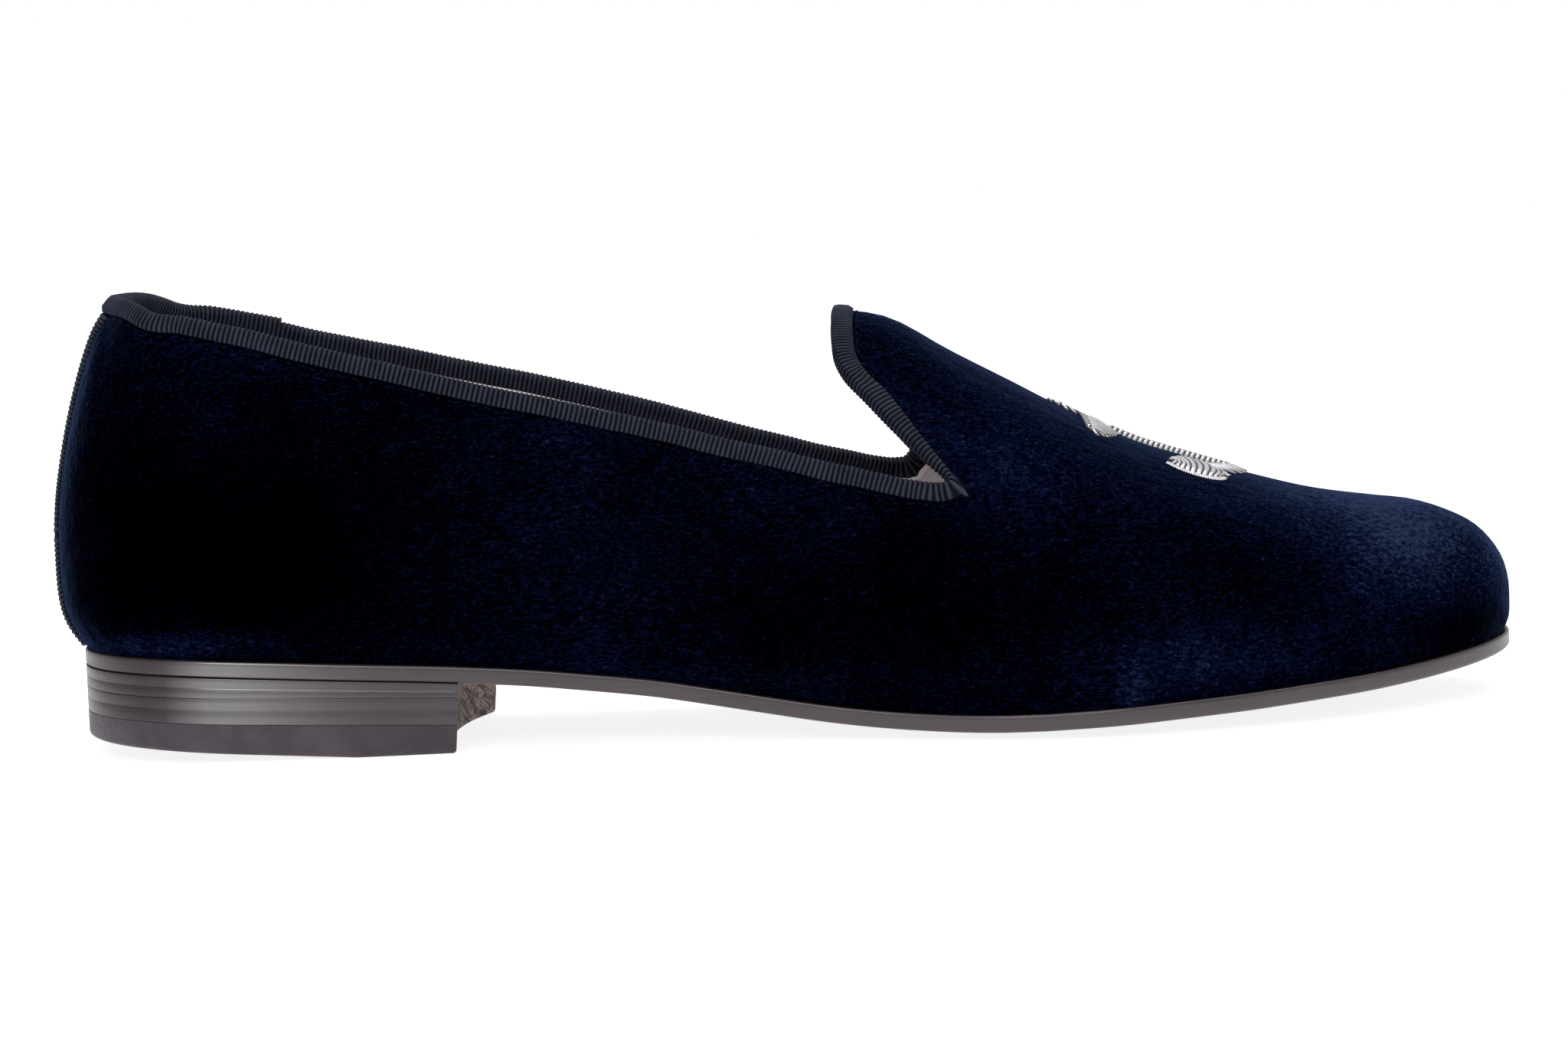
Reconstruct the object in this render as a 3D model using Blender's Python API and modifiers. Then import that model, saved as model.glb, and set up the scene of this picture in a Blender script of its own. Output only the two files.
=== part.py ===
"""Velvet slipper loafer, right shoe, standing empty on its sole.

The toe points along +X and the outer (little toe) side faces -Y. Every piece is worked out from one
last: a plan of the sole, a line for the instep and a line for the topline, all given in short tables
whose lengths are shares of the sizes named first. The shoe is modelled with the back of its counter
at X = 0, and hangs from an empty that brings the middle of its floor plan to the origin.
"""
import math

import bmesh
import bpy
import numpy as np

# Sizes of the last and the sole, in metres
LENGTH = 0.2836  # back of the counter to the tip of the sole
BALL_WIDTH = 0.0952  # seam of upper and sole, across the ball
HEEL_WIDTH = 0.0600  # the same seam, across the heel seat
BACK_RISE = 0.0662  # seam to topline, at the back
INSTEP_RISE = 0.0738  # seam to the ridge of the instep, at the tongue's peak
GIRTH_RISE = 0.0207  # seam to the fullest part of the counter
BACK_OVERHANG = 0.0044  # counter past the seam, at the back
SIDE_BULGE = 0.0040  # upper past the seam, at the outer waist
BACK_LEAN = 0.0129  # topline ahead of the counter, at the back
MEDIAL_SET_BACK = 0.0034  # inner throat corner behind the outer one
TONGUE_TURN = 0.0021  # most that the tongue's inner edge is ahead of its outer one
MEDIAL_RISE = 0.0014  # inner quarter's topline above the outer one, at the middle of the shoe
SEAT_LIFT = 0.0167  # floor to sole, at the back of the heel seat
TOE_SPRING = 0.0098  # floor to sole, at the tip
CROWN = 0.0025  # sole's edges above its middle, at the ball
TREAD_FLAT = 0.0009  # depth of the flat worn into the forefoot

# Sizes of the pieces
WALL = 0.0020
GAP = 0.0003
SOLE_THICKNESS = 0.0033
SOLE_LIP = 0.0010
HEEL_LIP = 0.0005
EDGE_CHAMFER = 0.0007
INSOLE_THICKNESS = 0.0030
INSOLE_CLEARANCE = 0.0007
RIBBON = 0.0007
RIBBON_DEPTH = 0.0030
RIBBON_EASE = 0.0003  # further room between ribbon and lining
TONGUE_RIBBON = 1.10  # share of RIBBON_DEPTH that the ribbon has round the tongue
TONGUE_RIBBON_START = 0.20  # how far past the throat corner it takes that depth, as a step of tau
RIBBON_LAP = 0.0008  # what the turned-in end adds where the ribbon's ends lap
RIBBON_LAP_END = 0.0420
RIBBON_LAP_TAPER = 0.0100
STRIP_WIDTH = 0.0160
STRIP_THICKNESS = 0.0007
HEEL_LENGTH = 0.0735  # sole's back edge to the outer corner of the breast
BREAST_SKEW = 0.0050
BREAST_HOLLOW = 0.0036
BREAST_RAKE = 0.0009
UPPER_LIFT_BACK, UPPER_LIFT_FRONT = 0.0039, 0.0027
TOP_PIECE_BACK, TOP_PIECE_FRONT = 0.0086, 0.0054
HEEL_ROCKER = 0.0036  # how far the top piece rises off the floor at its back edge
HEEL_ROCKER_REACH = 0.0540

# How far the rounded ends of the plan reach, and how square they are
HEEL_END, HEEL_SQUARENESS = 0.0340, 2.25
TOE_END, TOE_SQUARENESS = 0.0600, 2.30

# Stations of the plan. along: share of the length; swing: ridge towards the inner side, outer and
# inner: half-widths from the ridge, as shares of the width there; bulges: shares of SIDE_BULGE;
# girth: share of GIRTH_RISE; rise_power and width_power: roundness of the section.
STATION_COLUMNS = (
    "along", "swing", "outer", "inner", "outer_bulge", "inner_bulge", "girth", "rise_power", "width_power",
)
STATIONS = (
    (0.000, 0.000, 0.500, 0.500, 0.75, 0.75, 1.00, 2.00, 2.00),
    (0.125, 0.000, 0.500, 0.500, 0.80, 0.80, 0.93, 2.00, 2.00),
    (0.210, 0.000, 0.504, 0.488, 0.85, 0.90, 0.88, 2.00, 2.00),
    (0.300, 0.000, 0.494, 0.440, 0.95, 1.25, 0.83, 2.00, 2.00),
    (0.400, 0.006, 0.500, 0.375, 1.05, 1.75, 0.81, 1.95, 2.00),
    (0.490, 0.020, 0.496, 0.335, 0.95, 1.70, 0.81, 1.92, 2.00),
    (0.575, 0.036, 0.484, 0.368, 0.60, 0.90, 0.80, 1.85, 2.00),
    (0.645, 0.045, 0.520, 0.424, 0.35, 0.42, 0.76, 1.82, 2.02),
    (0.700, 0.048, 0.545, 0.453, 0.26, 0.28, 0.71, 1.82, 2.06),
    (0.750, 0.050, 0.531, 0.458, 0.24, 0.24, 0.66, 1.84, 2.10),
    (0.800, 0.052, 0.498, 0.444, 0.22, 0.22, 0.60, 1.88, 2.16),
    (0.855, 0.053, 0.458, 0.420, 0.20, 0.20, 0.53, 1.96, 2.22),
    (0.900, 0.054, 0.424, 0.396, 0.19, 0.19, 0.47, 2.05, 2.28),
    (0.945, 0.053, 0.392, 0.374, 0.18, 0.18, 0.41, 2.15, 2.30),
    (1.000, 0.052, 0.352, 0.342, 0.17, 0.17, 0.33, 2.20, 2.30),
)

# Height of the sole's middle along the shoe: share of SEAT_LIFT behind the tread, of TOE_SPRING ahead
SEAT = (
    (0.000, 1.040), (0.100, 0.980), (0.176, 0.905), (0.276, 0.790), (0.317, 0.722), (0.357, 0.630),
    (0.397, 0.525), (0.437, 0.395), (0.476, 0.275), (0.517, 0.162), (0.556, 0.082), (0.594, 0.034),
    (0.633, 0.006), (0.675, 0.000),
)
SPRING = (
    (0.660, 0.000), (0.714, 0.066), (0.755, 0.140), (0.797, 0.217), (0.840, 0.326), (0.884, 0.453),
    (0.931, 0.642), (0.965, 0.806), (1.000, 1.000),
)
CROWN_SHARES = (
    (0.000, 0.00), (0.300, 0.00), (0.400, 0.21), (0.500, 0.49), (0.580, 0.72), (0.660, 1.00),
    (0.800, 0.94), (0.900, 0.73), (1.000, 0.46),
)

# Back of the counter, from its fullest point up: rise as a share of BACK_RISE, inset of BACK_LEAN
BACK_PROFILE = (
    (0.365, 0.025), (0.490, 0.095), (0.615, 0.220), (0.745, 0.390), (0.870, 0.600), (0.940, 0.760),
    (1.000, 1.000),
)

# Ridge of the last above the seam: share of the length, share of INSTEP_RISE. The rows before the
# tongue lie inside the opening and only set how far the quarters lean in.
RIDGE = (
    (0.084, 1.075), (0.157, 1.200), (0.280, 1.180), (0.385, 1.080), (0.472, 1.005), (0.5175, 0.988),
    (0.545, 0.995), (0.575, 0.980), (0.6165, 0.892), (0.658, 0.803), (0.700, 0.705), (0.741, 0.618),
    (0.783, 0.554), (0.825, 0.493), (0.870, 0.436), (0.912, 0.397), (0.9375, 0.373), (0.9595, 0.335),
    (0.9775, 0.289), (0.990, 0.2325), (0.997, 0.1805),
)

# Topline of the quarter: share of the length, rise as a share of BACK_RISE
QUARTER_EDGE = (
    (0.074, 0.977), (0.103, 0.960), (0.156, 0.918), (0.200, 0.876), (0.245, 0.836), (0.289, 0.798),
    (0.333, 0.770), (0.377, 0.745), (0.422, 0.725), (0.466, 0.704), (0.513, 0.683), (0.555, 0.659),
    (0.578, 0.643), (0.594, 0.637), (0.6035, 0.646),
)
# Edge of the tongue from the throat corner up: share of the length, share of the half-width there
TONGUE_EDGE = (
    (0.602, 0.828), (0.591, 0.803), (0.5795, 0.773), (0.567, 0.732), (0.5524, 0.661), (0.5405, 0.587),
    (0.5352, 0.510), (0.5345, 0.400), (0.5352, 0.285), (0.5372, 0.140), (0.5384, 0.000),
)

# Where the grid lines that end at the throat corner start, as a share of the girth's length
THROAT_START = 0.660
THROAT_TURN = math.acos(1.0 - 2.0 * THROAT_START) / math.pi

# Points that a smooth path has between two of its rows, and that a length is measured through
PATH_STEPS = 16
GIRTH_STEPS, DEPTH_STEPS, STRIP_STEPS, LAP_STEPS = 240, 60, 120, 400

# Share of the sole's lip that the fullest line leaves at the tip; less than none, as it overhangs
TIP_SHARE = -0.25

# Where along the shoe the inner quarter starts to differ: its corner set back, its line raised
SET_BACK_START, SET_BACK_POWER = 0.35, 14.0
RISE_START, RISE_FULL, RISE_FALL = 0.10, 0.32, 0.33

# How the wall rolls out from the seam: powers of the rise and of the reach
ROLL_RISE, ROLL_REACH = 5.0, 0.77

# Step along and up the grid for directions on the wall
PROBE = 0.004

# Share of the fold's thickness at which its corners lie below the top
FOLD_ROUND = 0.3

# Least sine between a grid line and the topline that the ribbon's depth is corrected for, and the
# row of the upper at which the search for that depth ends
LEAST_SLANT = 0.62
DEPTH_END = 1.3

# Rows and columns of the back strip, the row it starts from and the grid lines it is found between
STRIP_ROWS, STRIP_COLUMNS, STRIP_FOOT, STRIP_REACH = 15, 9, 0.05, 0.25

# Depth down the heel at which each joint meets the breast, how gently its back edge leaves the
# floor, and the least angle of a sharp edge
LIFT_DEPTHS = (0.0, 0.2, 0.6, 1.0)
ROCKER_ROUND = 1.0
SHARP_ANGLE = math.radians(40.0)

# Grid of the upper: lines from the back to the throat corner, from there to the tip, and upwards
QUARTER_LINES, VAMP_LINES = 28, 20
LOWER_ROWS, UPPER_ROWS = 4, 11
ROW_SWEEP = 2.3
RINGS_ALONG, RINGS_ACROSS = 32, 8
HEEL_ALONG, HEEL_ACROSS = 11, 6

# Where along the shoe the width and the heights pass from the heel's sizes to the forefoot's
WAIST_START, BALL_START = 0.40, 0.64

MATERIALS = {
    "velvet": ((0.012, 0.018, 0.045), 0.90),
    "ribbon": ((0.050, 0.058, 0.085), 0.75),
    "lining_leather": ((0.300, 0.240, 0.190), 0.60),
    "sole_leather": ((0.060, 0.036, 0.028), 0.45),
    "top_piece_rubber": ((0.050, 0.034, 0.028), 0.55),
}


def smooth(at, knots, values):
    """Cubic through the values, its slopes taken from the neighbours on each side."""
    at, knots, values = (np.asarray(a, float) for a in (at, knots, values))
    slopes = np.gradient(values, knots)
    i = np.clip(np.searchsorted(knots, at) - 1, 0, len(knots) - 2)
    span = knots[i + 1] - knots[i]
    t = np.clip((at - knots[i]) / span, 0.0, 1.0)
    start = (2 * t**3 - 3 * t**2 + 1) * values[i] + (t**3 - 2 * t**2 + t) * span * slopes[i]
    end = (3 * t**2 - 2 * t**3) * values[i + 1] + (t**3 - t**2) * span * slopes[i + 1]
    return start + end


def table(rows, at):
    """Second column of a two-column table, read smoothly at a share of the first."""
    rows = np.asarray(rows)
    return smooth(at, rows[:, 0], rows[:, 1])


def station(name, s):
    """One named column of the stations, read at a distance s from the back."""
    rows = np.asarray(STATIONS)
    column = STATION_COLUMNS.index(name)
    return smooth(np.asarray(s) / LENGTH, rows[:, 0], rows[:, column])


def smooth_step(t):
    t = np.clip(t, 0.0, 1.0)
    return t * t * (3.0 - 2.0 * t)


def blend(s, start, end):
    """0 before the first share of the length, 1 after the second, smooth between."""
    return smooth_step((np.asarray(s) / LENGTH - start) / (end - start))


def path_through(points):
    """Smooth dense path through points in a plane, evenly tensioned between near and far ones."""
    points = np.asarray(points, float)
    chords = np.sqrt(np.linalg.norm(np.diff(points, axis=0), axis=1))
    knots = np.concatenate(([0.0], np.cumsum(chords)))
    steps = [np.linspace(a, b, PATH_STEPS, endpoint=False) for a, b in zip(knots, knots[1:])]
    at = np.concatenate(steps + [knots[-1:]])
    return np.stack([smooth(at, knots, points[:, k]) for k in range(points.shape[1])], axis=-1)


# The last


def swing(s):
    return station("swing", s) * BALL_WIDTH


def end_rounding(s, back, tip):
    """Rounds a plan off at both ends, as quarters of a squared ellipse."""
    heel = np.clip(1.0 - (s - back) / HEEL_END, 0.0, 1.0)
    toe = np.clip(1.0 - (tip - s) / TOE_END, 0.0, 1.0)
    return (
        (1.0 - heel**HEEL_SQUARENESS) ** (1.0 / HEEL_SQUARENESS)
        * (1.0 - toe**TOE_SQUARENESS) ** (1.0 / TOE_SQUARENESS)
    )


class Plan:
    """An outline seen from above: the seam of upper and sole, moved out by a margin."""

    def __init__(self, back, tip, margin=0.0, bulging=False):
        self.back, self.tip, self.margin, self.bulging = back, tip, margin, bulging

    def half_width(self, s, side):
        """Distance from the ridge to the outline, on side -1 (outer) or +1 (inner)."""
        s = np.clip(s, self.back, self.tip)
        width = HEEL_WIDTH + (BALL_WIDTH - HEEL_WIDTH) * blend(s, WAIST_START, BALL_START)
        share = np.where(side < 0, station("outer", s), station("inner", s))
        extra = self.margin
        if self.bulging:
            bulge = np.where(side < 0, station("outer_bulge", s), station("inner_bulge", s))
            extra = bulge * SIDE_BULGE
        return (share * width + extra) * end_rounding(s, self.back, self.tip)

    def fullness(self, s):
        """Share of the width that the rounding of the ends leaves."""
        return end_rounding(np.clip(s, self.back, self.tip), self.back, self.tip)

    def edge(self, s, side):
        """Y of the outline."""
        return swing(np.clip(s, self.back, self.tip)) + side * self.half_width(s, side)


SEAM = Plan(BACK_OVERHANG, LENGTH - SOLE_LIP)
GIRTH = Plan(0.0, LENGTH - TIP_SHARE * SOLE_LIP, bulging=True)
SOLE = Plan(SEAM.back - HEEL_LIP, LENGTH, margin=SOLE_LIP)
INSOLE = Plan(
    SEAM.back + WALL + INSOLE_CLEARANCE, SEAM.tip - WALL - INSOLE_CLEARANCE, margin=-WALL - INSOLE_CLEARANCE
)


def sole_bottom(s, across):
    """Underside of the sole. across runs from -1 to 1 between its edges, and less at its ends."""
    along = np.asarray(s) / LENGTH
    middle = SEAT_LIFT * table(SEAT, along) + TOE_SPRING * table(SPRING, along)
    middle = middle - TREAD_FLAT * blend(s, WAIST_START, BALL_START)
    return np.maximum(middle + CROWN * table(CROWN_SHARES, along) * np.asarray(across) ** 2, 0.0)


def seam_height(s):
    """Height of the line where the upper meets the sole."""
    return sole_bottom(s, SEAM.fullness(s)) + SOLE_THICKNESS + GAP


def girth_height(s):
    return seam_height(s) + GIRTH_RISE * station("girth", s)


def ridge_path():
    """Line over the back of the counter, the hidden crown, the instep and the toe."""
    rows = [(GIRTH.back, float(girth_height(GIRTH.back)))]
    for rise, inset in BACK_PROFILE:
        s = inset * BACK_LEAN
        rows.append((s, float(seam_height(s)) + rise * BACK_RISE))
    for along, rise in RIDGE:
        rows.append((along * LENGTH, float(seam_height(along * LENGTH)) + rise * INSTEP_RISE))
    rows.append((GIRTH.tip, float(girth_height(GIRTH.tip))))
    path = path_through(rows)
    path[:, 0] = np.maximum.accumulate(path[:, 0])
    return path


RIDGE_PATH = ridge_path()


def ridge_height(s):
    return np.interp(s, RIDGE_PATH[:, 0], RIDGE_PATH[:, 1])


def last_height(s, y):
    """Height of the last over a point of its plan, from its fullest line up."""
    side = np.where(y < swing(s), -1.0, 1.0)
    share = np.abs(y - swing(s)) / np.maximum(GIRTH.half_width(s, side), 1e-6)
    power, root = station("width_power", s), 1.0 / station("rise_power", s)
    crest = (1.0 - np.clip(share, 0.0, 1.0) ** power) ** root
    low = girth_height(s)
    return low + (ridge_height(s) - low) * crest


def share_at_height(s, z):
    """The share of the half-width at which the last reaches height z."""
    low = girth_height(s)
    rise = np.clip((z - low) / (ridge_height(s) - low), 0.0, 1.0)
    return (1.0 - rise ** station("rise_power", s)) ** (1.0 / station("width_power", s))


# The topline, in plan


def topline_plan(side):
    """Plan points of the topline on one side: back to throat corner, and corner to tongue's peak.

    A mirrored row past either end makes the two sides run smoothly into each other.
    """
    set_back, raised, turn = (MEDIAL_SET_BACK, MEDIAL_RISE, TONGUE_TURN) if side > 0 else (0.0, 0.0, 0.0)
    throat = QUARTER_EDGE[-1][0]
    quarter = [(BACK_LEAN, 0.0)]
    for along, rise in QUARTER_EDGE:
        s = along * LENGTH
        kept = 1.0 - float(blend(s, RISE_FALL, throat))
        height = rise * BACK_RISE + raised * kept * float(blend(s, RISE_START, RISE_FULL))
        s -= set_back * float(blend(s, SET_BACK_START, throat))
        quarter.append((s, float(share_at_height(s, seam_height(s) + height))))
    corner = quarter[-1][1]
    tongue = []
    for along, share in TONGUE_EDGE:
        low = share / corner
        s = along * LENGTH - set_back * low**SET_BACK_POWER + turn * 6.75 * low**2 * (1.0 - low)
        tongue.append((s, share))
    rows = quarter + tongue
    rows = [(rows[1][0], -rows[1][1])] + rows + [(rows[-2][0], -rows[-2][1])]
    points = []
    for s, share in rows:
        points.append((s, float(swing(s) + side * share * GIRTH.half_width(s, side))))
    path = path_through(points)[PATH_STEPS:-PATH_STEPS]
    split = (len(quarter) - 1) * PATH_STEPS
    return path[: split + 1], path[split:]


TOPLINE = {side: topline_plan(side) for side in (-1, 1)}


def along_path(path, fraction):
    """Point at a fraction of a path's length."""
    reach = np.concatenate(([0.0], np.cumsum(np.linalg.norm(np.diff(path, axis=0), axis=1))))
    at = np.asarray(fraction) * reach[-1]
    return np.interp(at, reach, path[:, 0]), np.interp(at, reach, path[:, 1])


def girth_along(tau):
    """Distance from the back at which a grid line leaves the fullest line of the upper.

    tau is 0 at the back, 1 at the line to the throat corner and 2 at the tip.
    """
    turn = smooth(tau, (0.0, 1.0, 2.0), (0.0, THROAT_TURN, 1.0))
    return GIRTH.tip * (1.0 - np.cos(math.pi * turn)) / 2.0


def girth_path(side, start, end):
    tau = np.linspace(start, end, GIRTH_STEPS)
    s = girth_along(tau)
    path = np.stack([s, GIRTH.edge(s, side)], axis=-1)
    reach = np.concatenate(([0.0], np.cumsum(np.linalg.norm(np.diff(path, axis=0), axis=1))))
    return tau, reach / reach[-1]


GIRTH_SHARES = {side: (girth_path(side, 0.0, 1.0), girth_path(side, 1.0, 2.0)) for side in (-1, 1)}


def topline_point(side, tau):
    """Plan point of the topline that a grid line runs to, matched to the girth by shares of length."""
    tau = np.asarray(tau, float)
    behind, ahead = GIRTH_SHARES[side]
    quarter, tongue = TOPLINE[side]
    back = along_path(quarter, np.interp(tau, *behind))
    front = along_path(tongue, np.interp(tau, *ahead))
    return tuple(np.where(tau <= 1.0, b, f) for b, f in zip(back, front))


def upper_surface(side, tau, v):
    """Outer face of the upper. v is 0 at the seam, 1 at the fullest line and 2 at the topline."""
    tau, v = np.broadcast_arrays(np.asarray(tau, float), np.asarray(v, float))
    s_girth = girth_along(tau)
    y_girth = GIRTH.edge(s_girth, side)
    s_seam = SEAM.back + (SEAM.tip - SEAM.back) * s_girth / GIRTH.tip
    y_seam = SEAM.edge(s_seam, side)
    s_top, y_top = topline_point(side, tau)

    climb = np.clip(v, 0.0, 1.0)
    out = (1.0 - (1.0 - climb) ** ROLL_RISE) ** (1.0 / ROLL_REACH)
    low_s = s_seam + (s_girth - s_seam) * out
    low_y = y_seam + (y_girth - y_seam) * out
    low_z = seam_height(s_seam) + (girth_height(s_girth) - seam_height(s_seam)) * climb

    inward = (1.0 - np.cos(np.clip(v - 1.0, 0.0, 1.0) * ROW_SWEEP)) / (1.0 - math.cos(ROW_SWEEP))
    high_s = s_girth + (s_top - s_girth) * inward
    high_y = y_girth + (y_top - y_girth) * inward
    high_z = last_height(high_s, high_y)
    above = v > 1.0
    return np.stack(
        [np.where(above, high_s, low_s), np.where(above, high_y, low_y), np.where(above, high_z, low_z)],
        axis=-1,
    )


def unit(vectors):
    return vectors / np.maximum(np.linalg.norm(vectors, axis=-1, keepdims=True), 1e-12)


# Meshes


def make_object(name, material, vertices, faces, closed=True):
    """New object from points and faces, its doubles merged.

    A closed body's faces are turned outwards. An open one's are listed that way round.
    """
    mesh = bpy.data.meshes.new(name)
    mesh.from_pydata([tuple(map(float, p)) for p in vertices], [], faces)
    cage = bmesh.new()
    cage.from_mesh(mesh)
    bmesh.ops.remove_doubles(cage, verts=cage.verts, dist=0.00001)
    if closed:
        bmesh.ops.recalc_face_normals(cage, faces=cage.faces)
    cage.to_mesh(mesh)
    cage.free()
    mesh.shade_smooth()
    mesh.set_sharp_from_angle(angle=SHARP_ANGLE)
    mesh.materials.append(material)
    part = bpy.data.objects.new(name, mesh)
    return part


def grid_faces(rows, columns, first=0, closed=False):
    """Quads of a grid of points, row after row; closed joins the last row to the first."""
    faces = []
    for i in range(rows if closed else rows - 1):
        for j in range(columns - 1):
            a, b = first + i * columns + j, first + (i + 1) % rows * columns + j
            faces.append((a, b, b + 1, a + 1))
    return faces


def rim(rows, columns):
    """Indices of a grid's border, once round."""
    border = [i * columns for i in range(rows)]
    border += [(rows - 1) * columns + j for j in range(1, columns)]
    border += [i * columns + columns - 1 for i in range(rows - 2, -1, -1)]
    border += list(range(columns - 2, 0, -1))
    return border


def slab(name, material, top, bottom, belts=()):
    """Closed body between two grids of points, its side running over any belts of border points."""
    rows, columns = top.shape[:2]
    border = rim(rows, columns)
    vertices = list(top.reshape(-1, 3)) + list(bottom.reshape(-1, 3))
    faces = grid_faces(rows, columns) + grid_faces(rows, columns, first=rows * columns)
    rings = [border]
    for belt in belts:
        flat = belt.reshape(-1, 3)
        rings.append(list(range(len(vertices), len(vertices) + len(border))))
        vertices += [flat[i] for i in border]
    rings.append([i + rows * columns for i in border])
    for upper, lower in zip(rings, rings[1:]):
        for k in range(len(border)):
            n = (k + 1) % len(border)
            faces.append((upper[k], upper[n], lower[n], lower[k]))
    return make_object(name, material, vertices, faces)


def plan_grid(plan, height, rows=RINGS_ALONG, columns=RINGS_ACROSS, end=None):
    """Grid of points inside a plan, from its back to its tip or to a line across it.

    height(s, across) gives Z, and end(across) the distance at which the line lies.
    """
    turn = np.linspace(0.0, 1.0, rows + 1)[:, None]
    across = np.linspace(-1.0, 1.0, columns + 1)[None, :]
    if end is None:
        s = plan.back + (plan.tip - plan.back) * (1.0 - np.cos(math.pi * turn)) / 2.0
        s = np.broadcast_to(s, (rows + 1, columns + 1))
    else:
        s = plan.back + (end(across) - plan.back) * (1.0 - np.cos(0.5 * math.pi * turn))
    side = np.where(across < 0, -1.0, 1.0)
    y = swing(s) + across * plan.half_width(s, side)
    z = np.broadcast_to(height(s, across * plan.fullness(s)), s.shape)
    return np.stack([s, y, z], axis=-1)


def upper_lines():
    """The grid lines of one side of the upper, closest at the throat corner."""
    behind = 1.0 - (1.0 - np.linspace(0.0, 1.0, QUARTER_LINES + 1)) ** 1.35
    ahead = 1.0 + np.linspace(0.0, 1.0, VAMP_LINES + 1)[1:] ** 1.30
    return np.concatenate((behind, ahead))


def around(tau):
    """Grid lines of both sides in order: up the outer side from the back, down the inner one."""
    outer = [(-1, t) for t in tau]
    inner = [(1, t) for t in tau[-2:0:-1]]
    return outer + inner


def build_upper(material):
    """Velvet and lining in one wall: the outer face of the last, given its thickness inwards."""
    rows = np.concatenate(
        (np.linspace(0.0, 1.0, LOWER_ROWS + 1), 1.0 + np.linspace(0.0, 1.0, UPPER_ROWS + 1)[1:])
    )
    lines = around(upper_lines())
    vertices = np.concatenate([upper_surface(side, tau, rows) for side, tau in lines])
    faces = grid_faces(len(lines), len(rows), closed=True)
    part = make_object("upper", material, vertices, faces, closed=False)
    wall = part.modifiers.new("wall", "SOLIDIFY")
    wall.thickness = WALL
    wall.offset = -1.0
    wall.use_even_offset = True
    wall.use_quality_normals = True
    return part


def edge_frame(side, tau):
    """At a point of the topline: the point, the way out of the wall and the way down it."""
    point = upper_surface(side, tau, 2.0)
    tangent = unit(
        upper_surface(side, min(tau + PROBE, 2.0), 2.0) - upper_surface(side, max(tau - PROBE, 0.0), 2.0)
    )
    if tau < PROBE:
        tangent = np.array([0.0, float(side), 0.0])
    elif tau > 2.0 - PROBE:
        tangent = np.array([0.0, -float(side), 0.0])
    down = unit(upper_surface(side, tau, 2.0 - 5.0 * PROBE) - point)
    down = unit(down - tangent * np.dot(down, tangent))
    out = unit(np.cross(tangent, down)) * side
    return point, tangent, out, down


def depth_rows(side, tau, tangent, depths):
    """Rows v at which the wall is each depth below the topline, measured square to it."""
    v = np.linspace(2.0, DEPTH_END, DEPTH_STEPS)
    points = upper_surface(side, tau, v)
    reach = np.concatenate(([0.0], np.cumsum(np.linalg.norm(np.diff(points, axis=0), axis=1))))
    start = unit(points[3] - points[0])
    slant = np.clip(np.linalg.norm(np.cross(start, tangent)), LEAST_SLANT, 1.0)
    return np.interp(np.asarray(depths) / slant, reach, v)


def wall_normal(side, tau, v):
    """Way out of the upper's outer face."""
    a = upper_surface(side, min(tau + PROBE, 2.0), v) - upper_surface(side, max(tau - PROBE, 0.0), v)
    b = upper_surface(side, tau, v + PROBE) - upper_surface(side, tau, v - PROBE)
    return unit(np.cross(a, b)) * -side


def build_binding(material):
    """Grosgrain folded over the topline: a U round the wall's edge, its ends lapped at the inner back."""
    quarter = np.linspace(0.0, 1.0, LAP_STEPS)
    lap_tau = float(np.interp(RIBBON_LAP_END, topline_point(1, quarter)[0], quarter))
    lap_step = (lap_tau - 0.001, lap_tau + 0.001)
    tau = np.unique(np.concatenate((upper_lines(), lap_step)))
    rings = []
    for side, t in around(tau):
        if side < 0 and t in lap_step:
            continue
        point, tangent, out, down = edge_frame(side, t)
        lapped = 0.0
        if side > 0 and t < lap_tau:
            lapped = RIBBON_LAP
        elif side < 0:
            lapped = RIBBON_LAP * float(1.0 - smooth_step(-point[1] / RIBBON_LAP_TAPER))
        narrowed = 1.0 - (1.0 - TONGUE_RIBBON) * float(smooth_step((t - 1.0) / TONGUE_RIBBON_START))
        rows = depth_rows(side, t, tangent, (RIBBON_DEPTH * narrowed,))
        outer, near, far = GAP + RIBBON + lapped, GAP + RIBBON_EASE, GAP + RIBBON_EASE + RIBBON
        legs = [(upper_surface(side, t, v), wall_normal(side, t, v)) for v in rows]
        ring = [p + n * outer for p, n in reversed(legs)]
        ring += [point + out * outer - down * FOLD_ROUND * (GAP + RIBBON)]
        ring += [point - out * 0.5 * WALL - down * (far + lapped)]
        ring += [point - out * (WALL + far) - down * FOLD_ROUND * far]
        ring += [p - n * (WALL + far) for p, n in legs]
        ring += [p - n * (WALL + near) for p, n in reversed(legs)]
        ring += [point - out * (WALL + near) - down * near, point + out * GAP - down * near]
        ring += [p + n * GAP for p, n in legs]
        rings.append(ring)
    count = len(rings[0])
    vertices = [p for ring in rings for p in ring]
    faces = []
    for i in range(len(rings)):
        n = (i + 1) % len(rings)
        for j in range(count):
            k = (j + 1) % count
            faces.append((i * count + j, n * count + j, n * count + k, i * count + k))
    return make_object("topline_binding", material, vertices, faces)


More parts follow.
